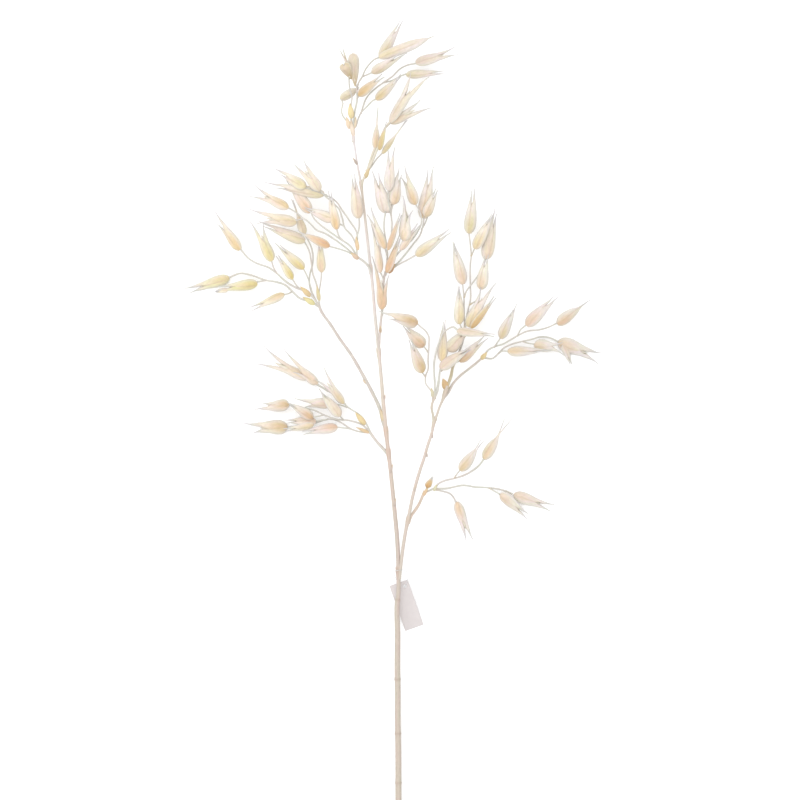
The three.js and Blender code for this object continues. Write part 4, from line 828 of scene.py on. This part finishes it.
def spikelet(order, entry, tint, core, shape, split):
    """Both glumes and the grain of one spikelet. Without a split of its own it parts lower down the
    further its tips lie from each other, and without a core of its own it draws one."""
    base, tip, second_tip, width = entry
    foot, directions, tips = spikelet_frame(base, tip, second_tip, order)
    side, along, _ = directions
    tips = tips if (tips[0] - tips[1]) @ side > 0 else tips[::-1]
    seed = 10 * draws.random()
    shades = 1 + SHADE_SPREAD * (draws.random((2, 3)) - 0.5)
    warmth = 0.25 + 0.6 * draws.random() if core is None else 0.75
    core = HUSK_CORES[draws.integers(len(HUSK_CORES))] if core is None else core
    bend = GLUME_BEND * (draws.random() - 0.5)
    lapped = draws.random() < 0.5
    length = (tips.mean(0) - foot) @ along
    spread = abs((tips[0] - tips[1]) @ side) / width
    split = split or np.clip(SPLIT_SHUT - SPLIT_DROP * spread, SPLIT_LOWEST, SPLIT_HIGHEST)
    half = GLUME_HALF * width
    return [
        glume(foot, 1, tips[0], half, bend, shape, lapped, split, directions, tint * shades[0], core,
              warmth, seed),
        glume(foot, -1, tips[1], half, bend, shape, not lapped, split, directions, tint * shades[1], core,
              0.85 * warmth, seed + 3.7),
        floret(foot, half, length, directions, FLORET_TINT, seed + 6.1),
    ]


def twig(first, last, places, stalk_tint):
    """A wiry twig: rings along its smooth line, whose radius goes evenly from its root to its end, with a
    flare at the root that dies off with the distance, a small swelling where it meets what it carries,
    and a slight sine wave. Thick twigs and the roots of thin ones take the stalk's colour."""
    line, at = smooth_line(places, TWIG_SPACING)
    radius = first + (last - first) * at / at[-1]
    radius = radius * (1 + TWIG_FLARE * np.exp(-at / FLARE_REACH)
                       + TWIG_SWELLING * np.exp(-((at - at[-1]) / SWELLING_REACH)**2))
    radius = TWIG_FULLNESS * radius * (1 + TWIG_WAVE * np.sin(at / WAVE_REACH + 10 * draws.random()))
    at = at[:, None]
    stalky = np.maximum(ramp(first, STALK_FROM, STALK_FULL), 1 - ramp(at, 0, STALK_TINT_REACH))
    grain = on_grid(circle(TWIG_SIDES), at, 10 * draws.random())
    return swept(line, radius, TWIG_SIDES), blend(TWIG_TINT, stalk_tint, stalky), grain, False


def sheath(foot, tip, width, tint, wrap=SHEATH_WRAP):
    """A sheath bract: a pointed blade wrapped round its line, which bows up by half a sine wave. Its half
    width swells to a third of the way up and dies away to the tip, and its section is an arc of an oval,
    open underneath, with a second arc inside it."""
    start, end = np.array(foot, float), np.array(tip, float)
    share = np.linspace(0, 1, SHEATH_ROWS)
    half = width / 2 * np.interp(share, *SHEATH_SHAPE)
    line = start + np.outer(share, end - start) + np.outer(0.25 * half.max() * np.sin(np.pi * share), UP)
    side, up = across(headings(line))
    outer = np.radians(wrap) * np.linspace(-1, 1, 15)
    inner = outer[::-2] * INNER_SHARE
    angle = np.r_[outer, inner]
    inset = np.repeat([0, 1], [len(outer), len(inner)])
    half, share = half[:, None], share[:, None]
    wide = half - np.minimum(SHEATH_THICKNESS, 0.4 * half) * inset
    points = (line[:, None] + side[:, None] * (wide * np.sin(angle))[..., None]
              + up[:, None] * (SHEATH_DEPTH * wide * np.cos(angle))[..., None])
    points[..., 2] = np.maximum(points[..., 2], PAPER_CLEARANCE)
    grain = on_grid(angle * half, share * np.linalg.norm(end - start), 10 * draws.random())
    return points, blend(tint, SHEATH_TIP, 0.7 * ramp(share, 0.55, 1)), grain, False


def stem_skin(places, collars, joints, tints):
    """A sleeved stem: rings along its smooth line. Their radius is the stem's own, plus a swelling at
    each collar that rises low down and drops quickly at its lip, a thin raised ring at each sleeve joint,
    and shallow ribs along it. Its colour goes evenly from one height in its tints to the next."""
    line, at = smooth_line([place[:3] for place in places], STEM_SPACING)
    height = line[:, 1]
    known = np.array(places, float)
    radius = bare = np.interp(height, known[:, 1], known[:, 3])
    collared, ringed = np.zeros((2, len(height)))
    for middle, half, full in collars:
        share = (height - middle) / half
        swell = ramp(share, -1.5, 0.3) * (1 - ramp(share, 0.45, 0.8))
        radius = np.maximum(radius, bare + COLLAR_FULLNESS * (full - bare) * swell)
        collared = np.maximum(collared, swell)
    for joint in joints:
        ringed = np.maximum(ringed, np.exp(-((height - joint) / JOINT_REACH)**2))
    radius = radius + JOINT_HEIGHT * ringed
    at, collared, ringed = at[:, None], collared[:, None], ringed[:, None]
    angle = circle(STEM_SIDES)
    ribs = 1 + RIB_RELIEF * np.cos(STEM_RIBS * angle + RIB_TWIST * at) * (1 - ringed)
    shades = np.array([linear(code) for code in tints.values()])
    colour = np.stack([np.interp(height, list(tints), channel) for channel in shades.T], -1)[:, None]
    colour = blend(colour, STEM_RING, 0.6 * ringed)
    colour = blend(colour, colour * COLLAR_SHADE, 0.6 * collared)
    return swept(line, radius[:, None] * ribs, STEM_SIDES), colour, on_grid(angle * STEM_GRAIN, at, 0), False


# The hang tag's card and its loop.
TAG_WIDTH, TAG_HEIGHT, TAG_THICKNESS = 24, 60.4, 0.8
TAG_CENTRE = [8.1, 242.5]
TAG_LEAN = 0.337  # turn of the card in plan, in radians
TAG_LIFT = 8.0  # height of the card's upper edge, where the loop holds it
TAG_HOLE = np.array([6.1, 23.6])  # from the card's middle, across it and up it
TAG_HOLE_RADIUS = 2.5
TAG_BOW = 1.1  # how far the card's middle bows up from a straight line between its ends
TAG_CURL = 0.15  # a quarter of this is how far its long edges curl up
TAG_CORNER = 0.7
TAG_EDGE = 0.12  # how far the faces round off at the card's edges and at its hole's
TAG_CORNERS = [(1, 1), (-1, 1), (-1, -1), (1, -1)]
SPOKE_STEPS = np.array([0, 0.04, 0.15, 0.35, 0.6, 0.82, 0.97, 1.0])  # from the hole's edge to the card's
LOOP_RADIUS = 0.3
LOOP_SIDES = 10
LOOP_SPACING = 1.0


def card_skin():
    """The card as a ring about its hole: spokes go from the hole's edge to a rectangle with rounded
    corners, and the section of each spoke is the card's top, edge and underside. The card bows by a
    parabola along its height and curls by another across it."""
    corner = np.array([TAG_WIDTH, TAG_HEIGHT]) / 2 - TAG_CORNER
    outline = []
    for quarter, signs in enumerate(TAG_CORNERS):
        angle = np.linspace(0, np.pi / 2, 4) + quarter * np.pi / 2
        arc = np.stack([np.cos(angle), np.sin(angle)], -1) * TAG_CORNER
        end = arc[-1] + corner * TAG_CORNERS[(quarter + 1) % 4]
        arc = arc + corner * signs
        outline += [*arc, *(arc[-1] + (end - arc[-1]) * np.linspace(0, 1, 12)[1:-1, None])]
    outline = np.array(outline)
    hole = TAG_HOLE + unit(outline - TAG_HOLE) * TAG_HOLE_RADIUS
    flat = hole[:, None] + (outline - hole)[:, None] * SPOKE_STEPS[:, None]
    rounding = np.zeros(len(SPOKE_STEPS))
    rounding[[0, -1]] = TAG_EDGE
    around = np.concatenate([flat, flat[:, ::-1]], 1)
    thick = np.r_[TAG_THICKNESS - rounding, rounding]
    x, y = around[..., 0], around[..., 1]
    z = thick + TAG_BOW * (1 - (2 * y / TAG_HEIGHT)**2) + TAG_CURL * (x / TAG_WIDTH)**2
    tilt = math.asin(TAG_LIFT / TAG_HEIGHT)
    back, rise = y * math.cos(tilt) - z * math.sin(tilt), y * math.sin(tilt) + z * math.cos(tilt)
    cos, sin = math.cos(TAG_LEAN), math.sin(TAG_LEAN)
    points = on_grid(x * cos - back * sin + TAG_CENTRE[0], x * sin + back * cos + TAG_CENTRE[1],
                     rise + TAG_LIFT / 2)
    return points[::-1], CARD_TINT, on_grid(x, y, thick)[::-1], True


def loop_skin():
    """The tag's loop: round rings along its closed smooth line."""
    line, _ = smooth_line(LOOP, LOOP_SPACING, looped=True)
    points = swept(line, np.full(len(line), LOOP_RADIUS), LOOP_SIDES, looped=True)
    return points, LOOP_TINT, points, True


def add_node(tree, kind, sockets=None, **settings):
    """A shader node with its own settings, and its sockets set to numbers or joined to other nodes'
    outputs."""
    made = tree.nodes.new(kind)
    for key, value in settings.items():
        setattr(made, key, value)
    for key, value in (sockets or {}).items():
        if isinstance(value, bpy.types.NodeSocket):
            tree.links.new(value, made.inputs[key])
        else:
            made.inputs[key].default_value = value
    return made


def new_finish(name, roughness, specular):
    """A material with its shader's plain values set, and the piece's own colour and grain to draw on."""
    finish = bpy.data.materials.new(name)
    finish.use_nodes = True
    tree = finish.node_tree
    shader = tree.nodes["Principled BSDF"]
    shader.inputs["Roughness"].default_value = roughness
    shader.inputs["Specular IOR Level"].default_value = specular
    tint = add_node(tree, "ShaderNodeAttribute", attribute_name="tint")
    grain = add_node(tree, "ShaderNodeAttribute", attribute_name="grain")
    return finish, tree, shader, tint.outputs["Color"], grain.outputs["Vector"]


def stretched_noise(tree, grain, scale, detail):
    """Noise read on the piece's grain, which is stretched by the three scales."""
    place = add_node(tree, "ShaderNodeMapping", {"Vector": grain, "Scale": scale})
    noise = add_node(tree, "ShaderNodeTexNoise", {
        "Vector": place.outputs["Vector"], "Scale": 1.0, "Detail": detail})
    return noise.outputs["Fac"]


def remap(tree, value, to_low, to_high, low=0.3, high=0.7):
    """A value between low and high taken to between two others."""
    made = add_node(tree, "ShaderNodeMapRange", {
        "Value": value, "From Min": low, "From Max": high, "To Min": to_low, "To Max": to_high})
    return made.outputs["Result"]


def times(tree, colour, value):
    """A colour times a value."""
    made = add_node(tree, "ShaderNodeVectorMath", {0: colour, 1: value}, operation="MULTIPLY")
    return made.outputs["Vector"]


# Numbers of a mix node's colour sockets, which share their names with its other sockets.
MIX_FIRST, MIX_SECOND, MIX_RESULT = 6, 7, 2


def tinged(tree, colour, streaks, low, high, one, other):
    """A colour times one tinge where the streaks are low and another where they are high."""
    mix = add_node(tree, "ShaderNodeMix", {"Factor": remap(tree, streaks, 0, 1, low, high)}, data_type="RGBA")
    mix.inputs[MIX_FIRST].default_value = (*one, 1)
    mix.inputs[MIX_SECOND].default_value = (*other, 1)
    return times(tree, colour, mix.outputs[MIX_RESULT])


def set_surface(tree, shader, colour, roughness=None, height=None, strength=0.5, distance=0.0):
    """Joins a shader to its colour, and to its roughness and the height of its relief where it has them."""
    tree.links.new(colour, shader.inputs["Base Color"])
    if roughness is not None:
        tree.links.new(roughness, shader.inputs["Roughness"])
    if height is not None:
        bump = add_node(tree, "ShaderNodeBump", {
            "Height": height, "Strength": strength, "Distance": distance})
        tree.links.new(bump.outputs["Normal"], shader.inputs["Normal"])


def husk_finish():
    """Papery husk: fine fibres and pale veins along it, soft mottling, and a matt face that the veins
    lift."""
    finish, tree, shader, tint, grain = new_finish("husk_paper", 0.7, 0.25)
    fibres = stretched_noise(tree, grain, (5.0, 0.35, 1.0), 4.0)
    veins = add_node(tree, "ShaderNodeTexWave", {
        "Vector": grain, "Scale": 0.26, "Distortion": 1.2, "Detail": 2.0, "Detail Scale": 0.6}).outputs["Fac"]
    mottling = stretched_noise(tree, grain, (0.35, 0.16, 1.0), 2.0)
    streaks = stretched_noise(tree, grain, (0.8, 0.06, 1.3), 2.0)
    shaded = tinged(tree, tint, streaks, 0.35, 0.65, (0.99, 1.01, 0.88), (1.03, 0.965, 1.0))
    shaded = times(tree, shaded, remap(tree, fibres, 0.91, 1.04))
    shaded = times(tree, shaded, remap(tree, veins, 0.94, 1.03, 0, 1))
    shaded = times(tree, shaded, remap(tree, mottling, 0.92, 1.04))
    relief = add_node(tree, "ShaderNodeMath", {0: fibres, 1: veins}, operation="ADD").outputs["Value"]
    set_surface(tree, shader, shaded, remap(tree, fibres, 0.6, 0.82), relief, 0.5, 0.00012)
    return finish


def stalk_finish(name, across_scale, bump_depth):
    """Paper-wrapped wire: long fibres, darker flecks and a faint gloss."""
    finish, tree, shader, tint, grain = new_finish(name, 0.55, 0.35)
    fibres = stretched_noise(tree, grain, (across_scale, 0.25, 1.0), 4.0)
    flecks = stretched_noise(tree, grain, (0.7, 0.12, 1.0), 2.0)
    streaks = stretched_noise(tree, grain, (0.1, 0.025, 1.0), 1.0)
    shaded = tinged(tree, tint, streaks, 0.38, 0.62, (0.985, 1.01, 0.985), (1.025, 0.975, 1.0))
    shaded = times(tree, shaded, remap(tree, fibres, 0.9, 1.05))
    shaded = times(tree, shaded, remap(tree, flecks, 0.9, 1.05))
    set_surface(tree, shader, shaded, remap(tree, fibres, 0.45, 0.65), fibres, 0.5, bump_depth)
    return finish


def card_finish():
    """Uncoated card: a fine even tooth with paler and darker fibres."""
    finish, tree, shader, tint, grain = new_finish("card_board", 0.9, 0.2)
    tooth = stretched_noise(tree, grain, (2.4, 2.4, 2.4), 5.0)
    clouds = stretched_noise(tree, grain, (0.15, 0.15, 0.15), 2.0)
    shaded = times(tree, tint, remap(tree, tooth, 0.97, 1.01))
    shaded = times(tree, shaded, remap(tree, clouds, 0.97, 1.01))
    set_surface(tree, shader, shaded, None, tooth, 0.3, 0.00005)
    return finish


def loop_finish():
    """Clear moulded nylon, a little cloudy."""
    finish, tree, shader, tint, grain = new_finish("loop_nylon", 0.2, 0.5)
    cloud = stretched_noise(tree, grain, (0.4, 0.4, 0.4), 2.0)
    set_surface(tree, shader, times(tree, tint, remap(tree, cloud, 0.94, 1.0)), remap(tree, cloud, 0.15, 0.3))
    shader.inputs["Transmission Weight"].default_value = 0.35
    shader.inputs["IOR"].default_value = 1.53
    return finish


def own(table, name, order, usual=None):
    """What a table by spray and order holds for one spikelet, or else the usual value."""
    return table.get(name, {}).get(order, usual)


husk_paper = husk_finish()
stalk_paper = stalk_finish("stalk_paper", 2.5, 0.00008)
stem_sleeve = stalk_finish("stem_sleeve", 1.6, 0.00012)
card_board = card_finish()
loop_nylon = loop_finish()

for name, spray in SPRAYS.items():
    husks = []
    for order, entry in enumerate(spray["spikelets"]):
        tint = linear(own(OWN_TINTS_AND_PAINTED_LIGHT, name, order, HUSK_TINTS[name]))
        core = own(OWN_CORES_AND_PAINTED_LIGHT, name, order)
        core = linear(core) if core else None
        shape, split = own(SHAPED, name, order, "plain"), own(PARTED, name, order)
        husks += spikelet(order, entry, tint, core, shape, split)
    stalks = [twig(*entry, linear(STALK_TINTS[name])) for entry in spray["twigs"]]
    sheaths = [sheath(*entry, linear(code)) for entry, code in zip(spray["bracts"], SHEATH_TINTS[name])]
    make_piece(name + "_husks", husks, husk_paper, name)
    make_piece(name + "_stalks", stalks, stalk_paper, name)
    make_piece(name + "_sheaths", sheaths, husk_paper, name)

for name, places, collars, nubs, joints in (
        ("main_stem", MAIN_STEM, MAIN_COLLARS, MAIN_NUBS, SLEEVE_JOINTS),
        ("right_stem", RIGHT_STEM, RIGHT_COLLARS, RIGHT_NUBS, [])):
    sleeves = [stem_skin(places, collars, joints, STEM_TINTS[name])]
    make_piece(name + "_sleeves", sleeves, stem_sleeve, name)
    make_piece(name + "_nubs", [sheath(*nub, NUB_TINT, NUB_WRAP) for nub in nubs], stem_sleeve, name)

make_piece("tag_board", [card_skin()], card_board, "tag_card")
make_piece("tag_line", [loop_skin()], loop_nylon, "tag_loop")

# The floor, the light and the camera, in metres.
FLOOR_HALF = 20.0
FLOOR_DROP = 0.0003  # below the surface, so that nothing that rests on it shares its plane
FLOOR_WHITE = (0.9, 0.9, 0.9, 1)


def floor_finish():
    """Plain white paper with a matt face."""
    finish = bpy.data.materials.new("floor_white")
    finish.use_nodes = True
    shader = finish.node_tree.nodes["Principled BSDF"]
    shader.inputs["Base Color"].default_value = FLOOR_WHITE
    shader.inputs["Roughness"].default_value = 1.0
    shader.inputs["Specular IOR Level"].default_value = 0.0
    return finish


floor_mesh = bpy.data.meshes.new("floor")
floor_corners = [(x * FLOOR_HALF, y * FLOOR_HALF, 0) for x, y in ((-1, -1), (1, -1), (1, 1), (-1, 1))]
floor_mesh.from_pydata(floor_corners, [], [(0, 1, 2, 3)])
floor_mesh.materials.append(floor_finish())
floor = bpy.data.objects.new("floor", floor_mesh)
floor.location.z = -FLOOR_DROP
bpy.context.scene.collection.objects.link(floor)

world = bpy.data.worlds.new("studio")
world.use_nodes = True
world.node_tree.nodes["Background"].inputs["Color"].default_value = (1, 1, 1, 1)
world.node_tree.nodes["Background"].inputs["Strength"].default_value = 0.96
bpy.context.scene.world = world

# A square soft light turned to face the stem, and a wide sun nearly overhead.
FILL_PLACE = (-2.2, 1.6, 3.0)
FILL_TARGET = (0.0, 0.1, 0.04)
fill_lamp = bpy.data.lights.new("fill", "AREA")
fill_lamp.size = 2.4
fill_lamp.energy = 34
fill = bpy.data.objects.new("fill", fill_lamp)
fill.location = FILL_PLACE
fill.rotation_euler = Vector(np.array(FILL_TARGET) - FILL_PLACE).to_track_quat("-Z", "Y").to_euler()
fill.visible_camera = False
bpy.context.scene.collection.objects.link(fill)

sun = bpy.data.lights.new("overhead", "SUN")
sun.energy = 1.6
sun.angle = math.radians(40)
overhead = bpy.data.objects.new("overhead", sun)
overhead.location = (0, 0, 3)
overhead.rotation_euler = (math.radians(-3), math.radians(-4), 0)
bpy.context.scene.collection.objects.link(overhead)

CAMERA_CENTRE = (0.0095, 0.0445, 0.045)
CAMERA_DISTANCE = 12.0
PICTURE_WIDTH = 1.0  # of the plane through the camera's centre
camera = bpy.data.cameras.new("camera")
camera.sensor_width = 36
camera.lens = camera.sensor_width * CAMERA_DISTANCE / PICTURE_WIDTH
camera.clip_start, camera.clip_end = 0.1, 100
eye = bpy.data.objects.new("camera", camera)
eye.location = (CAMERA_CENTRE[0], CAMERA_CENTRE[1], CAMERA_CENTRE[2] + CAMERA_DISTANCE)
bpy.context.scene.collection.objects.link(eye)
bpy.context.scene.camera = eye
bpy.context.scene.view_settings.view_transform = "Standard"
